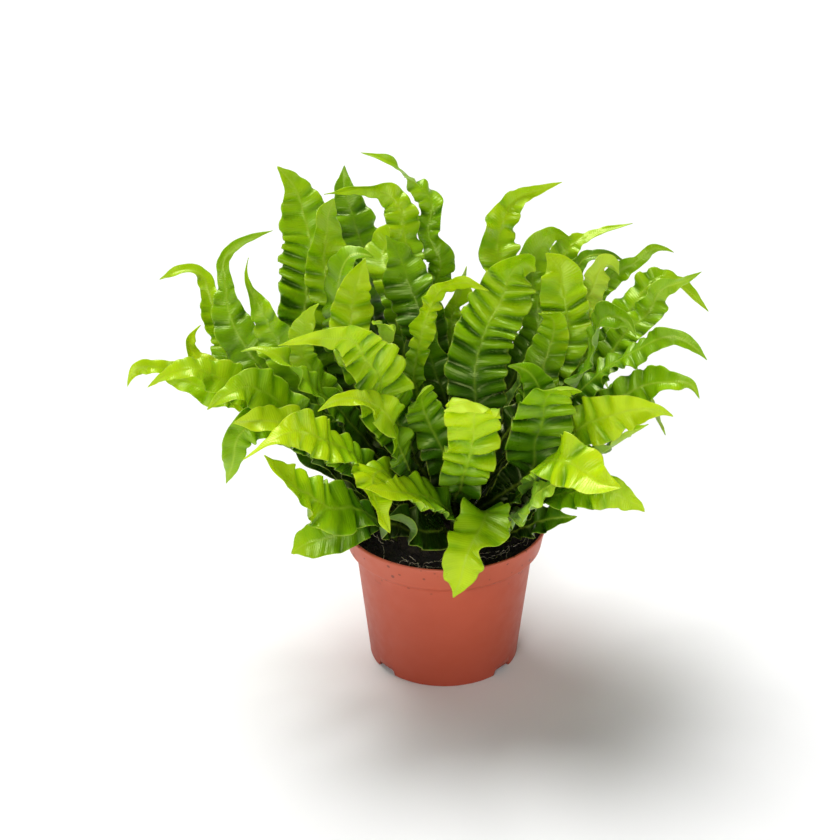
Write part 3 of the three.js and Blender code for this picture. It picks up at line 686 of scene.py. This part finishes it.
def blade_rows(rib, knots, look):
    """A blade's rows: where they are, how wide, and how far the relief and the tail have come."""
    length = knots[-1]
    along = np.linspace(0, length, int(length / STEP) + 1)
    part = along / length
    half = smoothed(np.interp(along, knots, look.width * rib.halves), SMOOTHED_ROWS)
    body = look.body * smoothstep(*BODY_START, part) * (1 - smoothstep(*BODY_END, part))
    half = np.maximum(np.maximum(half, LEAST_HALF), body)
    half[-1] = LEAST_HALF
    wide = smoothstep(*HALVES, half.max())
    return Rows(along, part, half, wide, smoothstep(*GROWN, part), smoothstep(*TAIL, part))


def blade_path(rib, knots, rows, draw, look):
    """The blade's middle line, and the directions along, across and out of the blade there."""
    points = spline(knots, rib.points, rows.along)
    tangents = unit(np.gradient(points, rows.along, axis=0))
    normals = square_to(tangents, spline(knots, rib.normals, rows.along))
    free = rows.grown * (1 - smoothstep(*STILL, rows.part))
    aside = WINDING * free * wandering(draw, rows.along, WINDING_SPACING)
    nod = NODDING * free * wandering(draw, rows.along, WINDING_SPACING)
    points = points + np.cross(tangents, normals) * aside[:, None] + normals * nod[:, None]
    tangents = unit(np.gradient(points, rows.along, axis=0))
    twist = blend(TWISTS, rows.wide) * rows.grown * wandering(draw, rows.along, WINDING_SPACING)
    tip_turn = draw.uniform(-1, 1) if look.tip is None else look.tip
    twist = twist + TAIL_TWIST * tip_turn * rows.tail
    normals = turned_about(square_to(tangents, normals), tangents, twist)
    return points, tangents, np.cross(tangents, normals), normals


def blade_relief(rows, across, reach, slanted, draw, look):
    """How far each point goes across, out of and along the blade, and how high on a pleat it is."""
    width = np.abs(across)
    grown = rows.grown[:, None]
    pleat_length = blend(PLEAT_LENGTHS, rows.wide)
    pleated = draw.uniform(*PLEAT_SHARES) if look.pleats is None else look.pleats
    height = PLEAT_HEIGHT * pleated * (1 - TAIL_LOSS * rows.tail)
    height = height * np.minimum(1, rows.half / PLEATED_HALF) * rows.grown
    height = height * (1 + UNEVENNESS * wandering(draw, rows.along, pleat_length))
    height = height[:, None]

    phase = pleat_phase(draw, slanted, rows.along[-1], pleat_length)
    ruffle = np.zeros_like(reach)
    outline = np.ones_like(reach)
    for side in (-1, 1):
        here = np.where(np.sign(across) == side, 1, 0)
        drift = DRIFT * wandering(draw, rows.along, DRIFT_SPACING * pleat_length)
        phase += here * drift[:, None] * width
        wave = wandering(draw, rows.along, blend(RUFFLE_LENGTHS, rows.wide))
        ruffle += here * wave[:, None] * width ** RUFFLE_POWER
        swell = wandering(draw, rows.along, SCALLOP_SPACING * pleat_length)
        swell = swell * blend(SCALLOPS, rows.wide)
        outline += here * (swell[:, None] + TEETH * fold(phase)) * grown
        if look.notch and look.notch[1] == side:
            cut = np.exp(-((rows.part - look.notch[0]) / BLADE_NOTCH_LENGTH) ** 2)
            outline -= BLADE_NOTCH_DEPTH * here * cut[:, None]

    rise = 1 - np.exp(-np.abs(reach) / PLEAT_START)
    rise = rise * (INNER_PLEATS + (1 - INNER_PLEATS) * width)
    crease = wandering(draw, rows.along, CREASE_SPACING * pleat_length)[:, None]
    crease = crease * (1 - width ** CREASE_POWER)
    pleat = (fold(phase) + CREASES * crease) * rise
    cup = (CUP + TAIL_CUP * rows.tail)[:, None] * width ** CUP_POWER
    waves = RUFFLE * look.waves * rows.grown * np.minimum(1, rows.half / RUFFLED_HALF)
    lift = height * pleat + cup * rows.half[:, None] + waves[:, None] * ruffle
    flank = STEEPNESS * pleat_length / TURN * np.sin(2 * phase)
    lean = flank * rise * (height / PLEAT_HEIGHT)
    return Relief(reach * outline, lift, lean, pleat * (height / PLEAT_HEIGHT))


def blade_faces(rows, columns):
    """Faces for an upper and a lower sheet that share their margins, and for the two ends."""
    top = np.arange(rows * columns).reshape(rows, columns)
    bottom = top.copy()
    bottom[:, 1:-1] = rows * columns + np.arange(rows * (columns - 2)).reshape(rows, -1)
    faces = []
    for sheet, turned in ((top, False), (bottom, True)):
        a, b = sheet[:-1, :-1].ravel(), sheet[:-1, 1:].ravel()
        d, c = sheet[1:, :-1].ravel(), sheet[1:, 1:].ravel()
        corners = (d, c, b, a) if turned else (a, b, c, d)
        faces += np.stack(corners, 1).tolist()
    foot, tip = (list(top[i]) + list(bottom[i, -2:0:-1]) for i in (0, -1))
    return faces + [foot[::-1], tip]


def build_blade(rib, draw, look):
    """One fine closed blade: its points, faces and the numbers that its material reads."""
    knots = np.append(0, np.cumsum(np.linalg.norm(np.diff(rib.points, axis=0), axis=1)))
    rows = blade_rows(rib, knots, look)
    points, tangents, sideways, normals = blade_path(rib, knots, rows, draw, look)
    across = np.array([-c for c in COLUMNS[:0:-1]] + list(COLUMNS))
    width = np.abs(across)
    reach = rows.half[:, None] * across
    slanted = rows.along[:, None] - VEIN_SLANT * np.abs(reach)
    relief = blade_relief(rows, across, reach, slanted, draw, look)

    middle = (points[:, None] + sideways[:, None] * relief.spread[..., None]
              + normals[:, None] * relief.lift[..., None]
              + tangents[:, None] * relief.lean[..., None])
    out = unit(np.cross(np.gradient(middle, axis=1), np.gradient(middle, axis=0)))
    thick = BLADE_HALF_THICKNESS * np.sqrt(1 - width ** EDGE_POWER)
    strong = (1 - RIB_TAPER * rows.part)[:, None]
    ridge = np.exp(-(reach / (RIB_WIDTH * (RIB_SPREAD + strong))) ** 2)
    ridge = ridge * smoothstep(0, RIB_HALF, rows.half)[:, None]
    upper = middle + out * (thick + RIB_ABOVE * strong * ridge)[..., None]
    lower = middle - out * (thick + RIB_BELOW * strong * ridge)[..., None]
    positions = np.vstack([upper.reshape(-1, 3), lower[:, 1:-1].reshape(-1, 3)])

    def both(values):
        values = np.broadcast_to(values, reach.shape)
        return np.concatenate([values.ravel(), values[:, 1:-1].ravel()])

    numbers = {
        "along": both(rows.part[:, None]),
        "across": both(width),
        "rib": both(ridge * draw.uniform(*RIB_PALENESS)),
        "pleat": both(relief.pleat),
        "vein": both(slanted / VEIN_SPACING),
        "under": (np.arange(len(positions)) >= reach.size).astype(float),
    }
    return np.clip(positions, *(np.array(CAD_BOX) / MM)), blade_faces(*reach.shape), numbers


def leaf_material(slot):
    tree = Tree(bpy.data.materials.new(slot))
    place = tree.place()
    along = tree.attribute("along")
    across = tree.attribute("across")
    under = tree.attribute("under")
    values = {
        "along": along,
        # for painted shade on the plant's inside
        "distance": tree.distance(place, HEART),
        # for painted shade in the pleats' valleys and painted highlight on their crests
        "pleat": tree.attribute("pleat"),
        "blotch": tree.noise(place, 55.0),
    }
    tone = tree.plus(tree.attribute("tint"), LEAF_TONES[slot])
    for key, *ranges in TONE_CHANGES:
        tone = tree.plus(tone, tree.between(values[key], *ranges))
    green = tree.ramp(tone, LEAF_COLOURS)

    # Veins are broken here and there, and stop short of the rib and the margins.
    wave = tree.compute("SINE", tree.times(tree.attribute("vein"), TURN))
    vein = tree.between(wave, 0.35, 1.0)
    vein = tree.times(vein, tree.between(tree.noise(place, 240.0), 0.42, 0.62))
    vein = tree.times(vein, tree.between(across, 0.04, 0.16))
    vein = tree.times(vein, tree.between(across, 0.8, 0.98, 1.0, 0.0))
    green = tree.mix(tree.times(vein, VEIN_SHARE), green, VEIN_GREEN)
    pale = tree.mix(0.35, green, UNDER_GREEN)
    green = tree.mix(tree.times(under, UNDER_SHARE), green, pale)
    rib = tree.times(tree.attribute("rib"), tree.between(along, 0.1, 0.35, 0.15, 0.6))
    green = tree.mix(rib, green, RIB_GREEN)
    green = tree.mix(tree.between(across, 0.93, 1.0, 0.0, 0.4), green, MARGIN_GREEN)
    green = tree.mix(tree.between(along, 0.05, 0.16, 1.0, 0.0), green, STALK_BROWN)

    rough = tree.between(tree.noise(place, 90.0), *MOST_NOISE, *LEAF_ROUGHNESS)
    rough = tree.plus(rough, tree.times(under, UNDER_ROUGHNESS))
    bump = tree.bump(wave, 0.00005, 0.5)
    bump = tree.bump(tree.noise(place, 900.0, 2.0), 0.0001, 0.3, below=bump)
    tree.nodes["Principled BSDF"].subsurface_method = "RANDOM_WALK"
    return tree.finish(Base_Color=green, Roughness=rough, Normal=bump,
                       Specular_IOR_Level=0.65, Specular_Tint=GLOSS_GREEN,
                       Subsurface_Weight=0.2, Subsurface_Radius=(0.5, 1.0, 0.12),
                       Subsurface_Scale=0.0012)


def build_fronds():
    slots = {row["node"]: row["material_slot"] for row in frame["record"]["subparts"]}
    materials = {slot: leaf_material(slot) for slot in LEAF_TONES}
    nodes = sorted(node for node in frame["nodes"] if node.startswith("frond_"))
    for number, node in enumerate(nodes):
        draw = np.random.default_rng(FIRST_FROND_SEED + number)
        look = LOOKS.get(node, Look())
        shells = []
        numbers = {}
        for rib in read_ribs(node):
            if node in SEEN_FROM_BELOW:
                rib = rib._replace(normals=-rib.normals)
            points, faces, blade_numbers = build_blade(rib, draw, look)
            shells.append((points, faces))
            tint = look.tone + TINT * draw.uniform(-1, 1)
            blade_numbers["tint"] = np.full(len(points), tint)
            for key, values in blade_numbers.items():
                numbers[key] = np.append(numbers.get(key, []), values)
        thing = add_mesh(node.replace("frond_", "blade_"), *joined(shells), numbers)
        dress(thing, materials[slots[node]], slots[node], node)


# ---- pot ----

def arc(centre, radius, start, end, steps):
    """Points [radius, height] on an arc in the pot's section, angles in degrees."""
    angles = np.radians(np.linspace(start, end, steps))
    return [[centre[0] + radius * math.cos(a), centre[1] + radius * math.sin(a)] for a in angles]


def pot_section():
    """The pot's closed section, [radius, height], from the underside's middle round to the floor."""
    slope = (BODY_TOP_RADIUS - FOOT_RADIUS) / LEDGE_BOTTOM
    inner_foot = FOOT_RADIUS - FOOT_RING_WIDTH
    outer_foot = FOOT_RADIUS - 0.7
    floor = FLOOR_UNDERSIDE + WALL
    return [
        [PAD_RADIUS, 0.0],
        [PAD_RADIUS, FLOOR_UNDERSIDE - FLOOR_FILLET],
        [PAD_RADIUS + FLOOR_FILLET, FLOOR_UNDERSIDE],
        [DRAIN_CIRCLE, FLOOR_UNDERSIDE],
        [inner_foot - FLOOR_FILLET, FLOOR_UNDERSIDE],
        [inner_foot, FLOOR_UNDERSIDE - FLOOR_FILLET],
        [inner_foot, FOOT_BEVEL],
        [inner_foot + FOOT_BEVEL, 0.0],
        [outer_foot, 0.0],
        *arc((outer_foot, FOOT_ROUND), FOOT_ROUND, -60, -10, 4),
        *([FOOT_RADIUS + slope * height, height] for height in BODY_HEIGHTS),
        [BODY_TOP_RADIUS, LEDGE_BOTTOM - 0.6],
        [BODY_TOP_RADIUS + 0.5, LEDGE_BOTTOM + 0.2],
        [COLLAR_BOTTOM_RADIUS - 0.9, COLLAR_BOTTOM - 0.9],
        [COLLAR_BOTTOM_RADIUS - 0.15, COLLAR_BOTTOM - 0.1],
        [COLLAR_BOTTOM_RADIUS + 0.1, COLLAR_BOTTOM + 0.7],
        [RIM_RADIUS - 1.3, POT_HEIGHT - 5],
        [RIM_RADIUS - 0.35, POT_HEIGHT - 2.2],
        *arc((RIM_RADIUS - LIP, POT_HEIGHT - LIP), LIP, -20, 180, 9),
        [RIM_RADIUS - 2 * LIP, POT_HEIGHT - LIP_DEPTH],
        [COLLAR_BOTTOM_RADIUS - WALL, COLLAR_BOTTOM],
        [BODY_TOP_RADIUS - WALL, LEDGE_BOTTOM - 1],
        [FOOT_RADIUS + slope * floor - WALL, floor],
    ]


def notch_lift(angle):
    """How far the foot is cut away at an angle, as a share of the notch's height."""
    nearest = min(abs((angle - notch + 180) % 360 - 180) for notch in FOOT_NOTCHES)
    return float(1 - smoothstep(FOOT_NOTCH_HALF - 1.5, FOOT_NOTCH_HALF + 0.5, nearest))


def pot_shell():
    """The pot's points and faces, without its drain holes."""
    radii, heights = np.array(pot_section()).T
    in_foot = (radii > PAD_RADIUS + 2) & (heights < FOOT_NOTCH_HEIGHT)
    rings = []
    for angle in np.arange(POT_TURNS) * 360 / POT_TURNS:
        turn = math.radians(angle)
        cut = np.where(in_foot, notch_lift(angle) * FOOT_NOTCH_HEIGHT, 0)
        rings.append(np.stack([radii * math.cos(turn), radii * math.sin(turn),
                               np.maximum(heights, cut)], 1))
    points = np.vstack([*rings, [[0, 0, 0], [0, 0, FLOOR_UNDERSIDE + WALL]]])
    count = len(radii)
    under, over = len(points) - 2, len(points) - 1
    faces = []
    for i in range(POT_TURNS):
        here, there = i * count, ((i + 1) % POT_TURNS) * count
        for j in range(count - 1):
            faces.append((here + j, there + j, there + j + 1, here + j + 1))
        faces.append((under, there, here))
        faces.append((here + count - 1, there + count - 1, over))
    return points, faces


def cut_drains(pot):
    """Cuts the drain holes through the pot's floor."""
    cutters = []
    for i in range(DRAIN_COUNT):
        angle = TURN * i / DRAIN_COUNT
        centre = (DRAIN_CIRCLE * math.cos(angle) * MM, DRAIN_CIRCLE * math.sin(angle) * MM,
                  (FLOOR_UNDERSIDE + WALL / 2) * MM)
        bpy.ops.mesh.primitive_cylinder_add(vertices=DRAIN_SIDES, radius=DRAIN_RADIUS * MM,
                                            depth=4 * WALL * MM, location=centre)
        cutters.append(bpy.context.object)
    for cutter in cutters:
        modifier = pot.modifiers.new("drain", "BOOLEAN")
        modifier.operation = "DIFFERENCE"
        modifier.object = cutter
    flattened = bpy.data.meshes.new_from_object(
        pot.evaluated_get(bpy.context.evaluated_depsgraph_get()))
    pot.modifiers.clear()
    pot.data = flattened
    for cutter in cutters:
        bpy.data.objects.remove(cutter)


def pot_material():
    """Clouded terracotta plastic, with painted shade at the foot, and painted light and specks on
    the collar.
    """
    tree = Tree(bpy.data.materials.new("pot_plastic"))
    place = tree.place()
    height = tree.height(place)  # in metres
    red = tree.mix(tree.between(tree.noise(place, 22.0, 4.0), *MOST_NOISE), *CLOUD_REDS)
    # painted shade, darker towards the foot
    red = tree.mix(tree.between(height, 0.0, 0.06, 0.7, 0.0), red, PAINTED_FOOT_SHADE)
    # painted light, paler towards the rim on the collar
    red = tree.mix(tree.between(height, 0.066, 0.092, 0.0, 0.4), red, PAINTED_COLLAR_LIGHT)
    speck = tree.between(tree.cells(place, 200.0), 0.26, 0.18)  # the middles of small cells
    speck = tree.times(speck, tree.between(tree.noise(place, 75.0, 1.0), 0.49, 0.51))
    speck = tree.times(speck, tree.between(height, 0.066, 0.074))  # on the collar alone
    red = tree.mix(tree.times(speck, SPECK_SHARE), red, SPECK_BROWN)
    rough = tree.between(tree.noise(place, 130.0), *MOST_NOISE, *POT_ROUGHNESS)
    bump = tree.bump(tree.noise(place, 1400.0, 2.0), 0.00006, 0.5)
    return tree.finish(Base_Color=red, Roughness=rough, Normal=bump)


def build_pot():
    pot = add_mesh("nursery_pot", *pot_shell())
    cut_drains(pot)
    dress(pot, pot_material(), "pot", "pot")


# ---- soil and crown ----

def bumpy(x, y, seed, scale, octaves=4, waves=5, height=0.45, finer=1.9, lower=0.62):
    """A sum of seeded plane waves, mostly between -1 and 1. Each octave is finer and lower."""
    draw = np.random.default_rng(seed)
    total = np.zeros_like(x)
    for octave in range(octaves):
        size = scale / finer ** octave
        for _ in range(waves):
            angle, shift = draw.uniform(0, TURN, 2)
            way = (x * math.cos(angle) + y * math.sin(angle)) / size
            total += np.sin(TURN * way + shift) * height * lower ** octave
    return total


def soil_wall(height):
    """The soil's radius where it meets the pot."""
    slope = ((RIM_RADIUS - 2 * LIP - COLLAR_BOTTOM_RADIUS + WALL)
             / (POT_HEIGHT - LIP_DEPTH - COLLAR_BOTTOM))
    return COLLAR_BOTTOM_RADIUS - WALL + slope * (height - COLLAR_BOTTOM) - SOIL_GAP


def soil_height(x, y):
    """The height of the soil's rough top."""
    return (SOIL_TOP + 0.9 * bumpy(x, y, seed=5, scale=17)
            + 0.35 * bumpy(x, y, seed=6, scale=3.5, octaves=3))


def soil_material():
    tree = Tree(bpy.data.materials.new("peat"))
    grain = tree.noise(tree.place(), 420.0, 5.0, 0.7)
    brown = tree.ramp(grain, PEAT_BROWNS)
    return tree.finish(Base_Color=brown, Roughness=0.9, Normal=tree.bump(grain, 0.0012))


def build_soil():
    rings = []
    for radius in np.linspace(0, 1, SOIL_RINGS)[1:] ** RING_CROWDING * soil_wall(SOIL_TOP):
        x, y = circle(radius, SOIL_TURNS)
        rings.append(np.stack([x, y, soil_height(x, y)], 1))
    floor = FLOOR_UNDERSIDE + WALL + 0.3
    for radius, height in ((soil_wall(COLLAR_BOTTOM), COLLAR_BOTTOM),
                           (BODY_TOP_RADIUS - WALL - 0.5, LEDGE_BOTTOM - 1),
                           (FOOT_RADIUS - 1, floor)):
        rings.append(np.stack([*circle(radius, SOIL_TURNS), np.full(SOIL_TURNS, height)], 1))
    points, faces = capped(rings, [0, 0, soil_height(0.0, 0.0)], [0, 0, floor])
    dress(add_mesh("soil", points, faces), soil_material(), "soil", "potting_soil")


def lump(draw, size):
    """A small closed lump: an octahedron split once, with its points moved."""
    corners = [(1, 0, 0), (-1, 0, 0), (0, 1, 0), (0, -1, 0), (0, 0, 1), (0, 0, -1)]
    faces = [(a, b, c) for a in (0, 1) for b in (2, 3) for c in (4, 5)]
    points = [np.array(c, float) for c in corners]
    middles = {}

    def middle(a, b):
        key = (min(a, b), max(a, b))
        if key not in middles:
            middles[key] = len(points)
            points.append(unit(points[a] + points[b]))
        return middles[key]

    split = []
    for a, b, c in faces:
        ab, bc, ca = middle(a, b), middle(b, c), middle(c, a)
        split += [(a, ab, ca), (ab, b, bc), (ca, bc, c), (ab, bc, ca)]
    cloud = np.array(points) * draw.uniform(*LUMP_POINTS, (len(points), 1)) * size
    cloud *= draw.uniform(*LUMP_STRETCH, 3)
    outward = []
    for face in split:
        a, b, c = (cloud[v] for v in face)
        outward.append(face if np.cross(b - a, c - a) @ (a + b + c) > 0 else face[::-1])
    return cloud, outward


def build_crumbs(count=900, seed=21):
    """Loose crumbs of peat on the soil, between the crown and the pot."""
    draw = np.random.default_rng(seed)
    edge = soil_wall(SOIL_TOP) - CRUMB_EDGE
    least, most = CRUMB_SIZES
    shells = []
    for _ in range(count):
        radius = edge * math.sqrt(draw.uniform(0.25, 1))
        angle = draw.uniform(0, TURN)
        x, y = radius * math.cos(angle), radius * math.sin(angle)
        size = least + (most - least) * draw.uniform() ** 3  # most are small
        cloud, faces = lump(draw, size)
        z = float(soil_height(np.array(x), np.array(y)))
        shells.append((cloud + [x, y, z + 0.3 * size], faces))
    dress(add_mesh("peat_crumbs", *joined(shells), smooth=False), soil_material(), "soil")


def tube(path, radii, sides):
    """A closed tube along points, with flat ends."""
    path = np.asarray(path, float)
    tangents = unit(np.gradient(path, axis=0))
    up = np.array([0.0, 0.0, 1.0])
    first = unit(np.cross(tangents, up + 1e-3))
    second = np.cross(tangents, first)
    angles = TURN * np.arange(sides) / sides
    rings = (path[:, None] + (first[:, None] * np.cos(angles)[None, :, None]
             + second[:, None] * np.sin(angles)[None, :, None]) * np.asarray(radii)[:, None, None])
    points = np.vstack([rings.reshape(-1, 3), path[0], path[-1]])
    faces = []
    for i in range(len(path) - 1):
        for j in range(sides):
            a, b = i * sides + j, i * sides + (j + 1) % sides
            faces.append((a, b, b + sides, a + sides))
    start, end = len(points) - 2, len(points) - 1
    last = (len(path) - 1) * sides
    for j in range(sides):
        faces.append((start, (j + 1) % sides, j))
        faces.append((end, last + j, last + (j + 1) % sides))
    return points, faces


def rootlet_material():
    tree = Tree(bpy.data.materials.new("rootlets"))
    tan = tree.ramp(tree.noise(tree.place(), 300.0), ROOTLET_TANS)
    return tree.finish(Base_Color=tan, Roughness=0.7)


def build_rootlets(count=64, seed=33, fewest=5):
    """Pale dead roots that lie on the soil. Those with fewer points than the fewest are left out."""
    draw = np.random.default_rng(seed)
    edge = soil_wall(SOIL_TOP) - ROOTLET_EDGE
    shells = []
    for _ in range(count):
        angle = draw.uniform(0, TURN)
        radius = draw.uniform(CROWN_RADIUS, edge)
        heading = angle + draw.choice([-1, 1]) * draw.uniform(*ROOTLET_HEADINGS)
        x, y = radius * math.cos(angle), radius * math.sin(angle)
        path = []
        for _ in range(int(draw.uniform(*ROOTLET_STEPS))):
            if math.hypot(x, y) > edge:
                break
            z = float(soil_height(np.array(x), np.array(y))) + 0.35 + 0.25 * draw.uniform()
            path.append([x, y, z])
            heading += draw.uniform(-ROOTLET_BEND, ROOTLET_BEND)
            x += ROOTLET_STEP * math.cos(heading)
            y += ROOTLET_STEP * math.sin(heading)
        if len(path) >= fewest:
            radii = draw.uniform(*ROOTLET_RADII) * np.linspace(1, ROOTLET_TAPER, len(path))
            shells.append(tube(path, radii, sides=5))
    dress(add_mesh("rootlets", *joined(shells)), rootlet_material(), "soil")


def crown_material():
    tree = Tree(bpy.data.materials.new("crown_scales"))
    grain = tree.noise(tree.scaled(tree.place(), (1, 1, 0.35)), 380.0, 4.0, 0.65)
    brown = tree.ramp(grain, CROWN_BROWNS)
    return tree.finish(Base_Color=brown, Roughness=0.85, Normal=tree.bump(grain, 0.001))


def build_crown():
    """The low dome that the fronds grow from, rough with old leaf bases."""
    rings = []
    for share in np.linspace(0, 1, CROWN_RINGS)[1:]:
        x, y = circle(CROWN_RADIUS * share, CROWN_TURNS, CROWN_CENTRE)
        dome = SOIL_TOP + CROWN_DOME * (1 - share * share) - CROWN_SUNK
        rough = 1.0 * bumpy(x, y, seed=8, scale=9) + 0.4 * bumpy(x, y, seed=9, scale=3, octaves=2)
        rings.append(np.stack([x, y, dome + rough * (1.05 - share)], 1))
    rings.append(rings[-1] - [0, 0, CROWN_DEPTH])
    points, faces = capped(rings, [*CROWN_CENTRE, SOIL_TOP + CROWN_DOME - CROWN_SUNK],
                           [*CROWN_CENTRE, SOIL_TOP - CROWN_DEPTH])
    dress(add_mesh("fern_crown", points, faces), crown_material(), "crown", "crown")


# ---- stage ----

def look_at(thing, target):
    """Turns a camera or a light towards a point."""
    way = Vector(target) - thing.location
    thing.rotation_euler = way.to_track_quat("-Z", "Y").to_euler()


def build_camera():
    camera = bpy.data.objects.new("camera", bpy.data.cameras.new("camera"))
    camera.data.lens = LENS
    back = (0, -math.cos(ELEVATION) * DISTANCE, math.sin(ELEVATION) * DISTANCE)
    camera.location = [t + b for t, b in zip(TARGET, back)]
    look_at(camera, TARGET)
    bpy.context.scene.collection.objects.link(camera)
    bpy.context.scene.camera = camera
    bpy.context.scene.view_settings.view_transform = "Standard"


def build_floor():
    half = FLOOR_SIZE / 2 / MM
    corners = [(-half, -half, 0), (half, -half, 0), (half, half, 0), (-half, half, 0)]
    floor = add_mesh("floor", corners, [(0, 1, 2, 3)], smooth=False)
    tree = Tree(bpy.data.materials.new("pale_floor"))
    floor.data.materials.append(tree.finish(Base_Color=PALE, Roughness=0.9))


def build_world():
    """White light that is strongest level with the object and dims towards the zenith."""
    world = bpy.data.worlds.new("studio")
    tree = Tree(world)
    height = tree.height(tree.place("Generated"))
    lowness = tree.compute("SUBTRACT", 1.0, height, use_clamp=True)
    strength = tree.between(tree.compute("POWER", lowness, FALL_OFF), 0.0, 1.0, ZENITH, HORIZON)
    background = tree.nodes["Background"]
    tree.feed(background.inputs["Strength"], strength)
    tree.feed(background.inputs["Color"], (1, 1, 1, 1))
    bpy.context.scene.world = world


def build_lights():
    for name, place, width, strength in LIGHTS:
        data = bpy.data.lights.new(name, "SUN")
        data.angle = math.radians(width)
        data.energy = strength
        light = bpy.data.objects.new(name, data)
        light.location = place
        look_at(light, (0, 0, 0))
        bpy.context.scene.collection.objects.link(light)


build_camera()
build_floor()
build_world()
build_lights()
build_pot()
build_soil()
build_crumbs()
build_rootlets()
build_crown()
build_fronds()
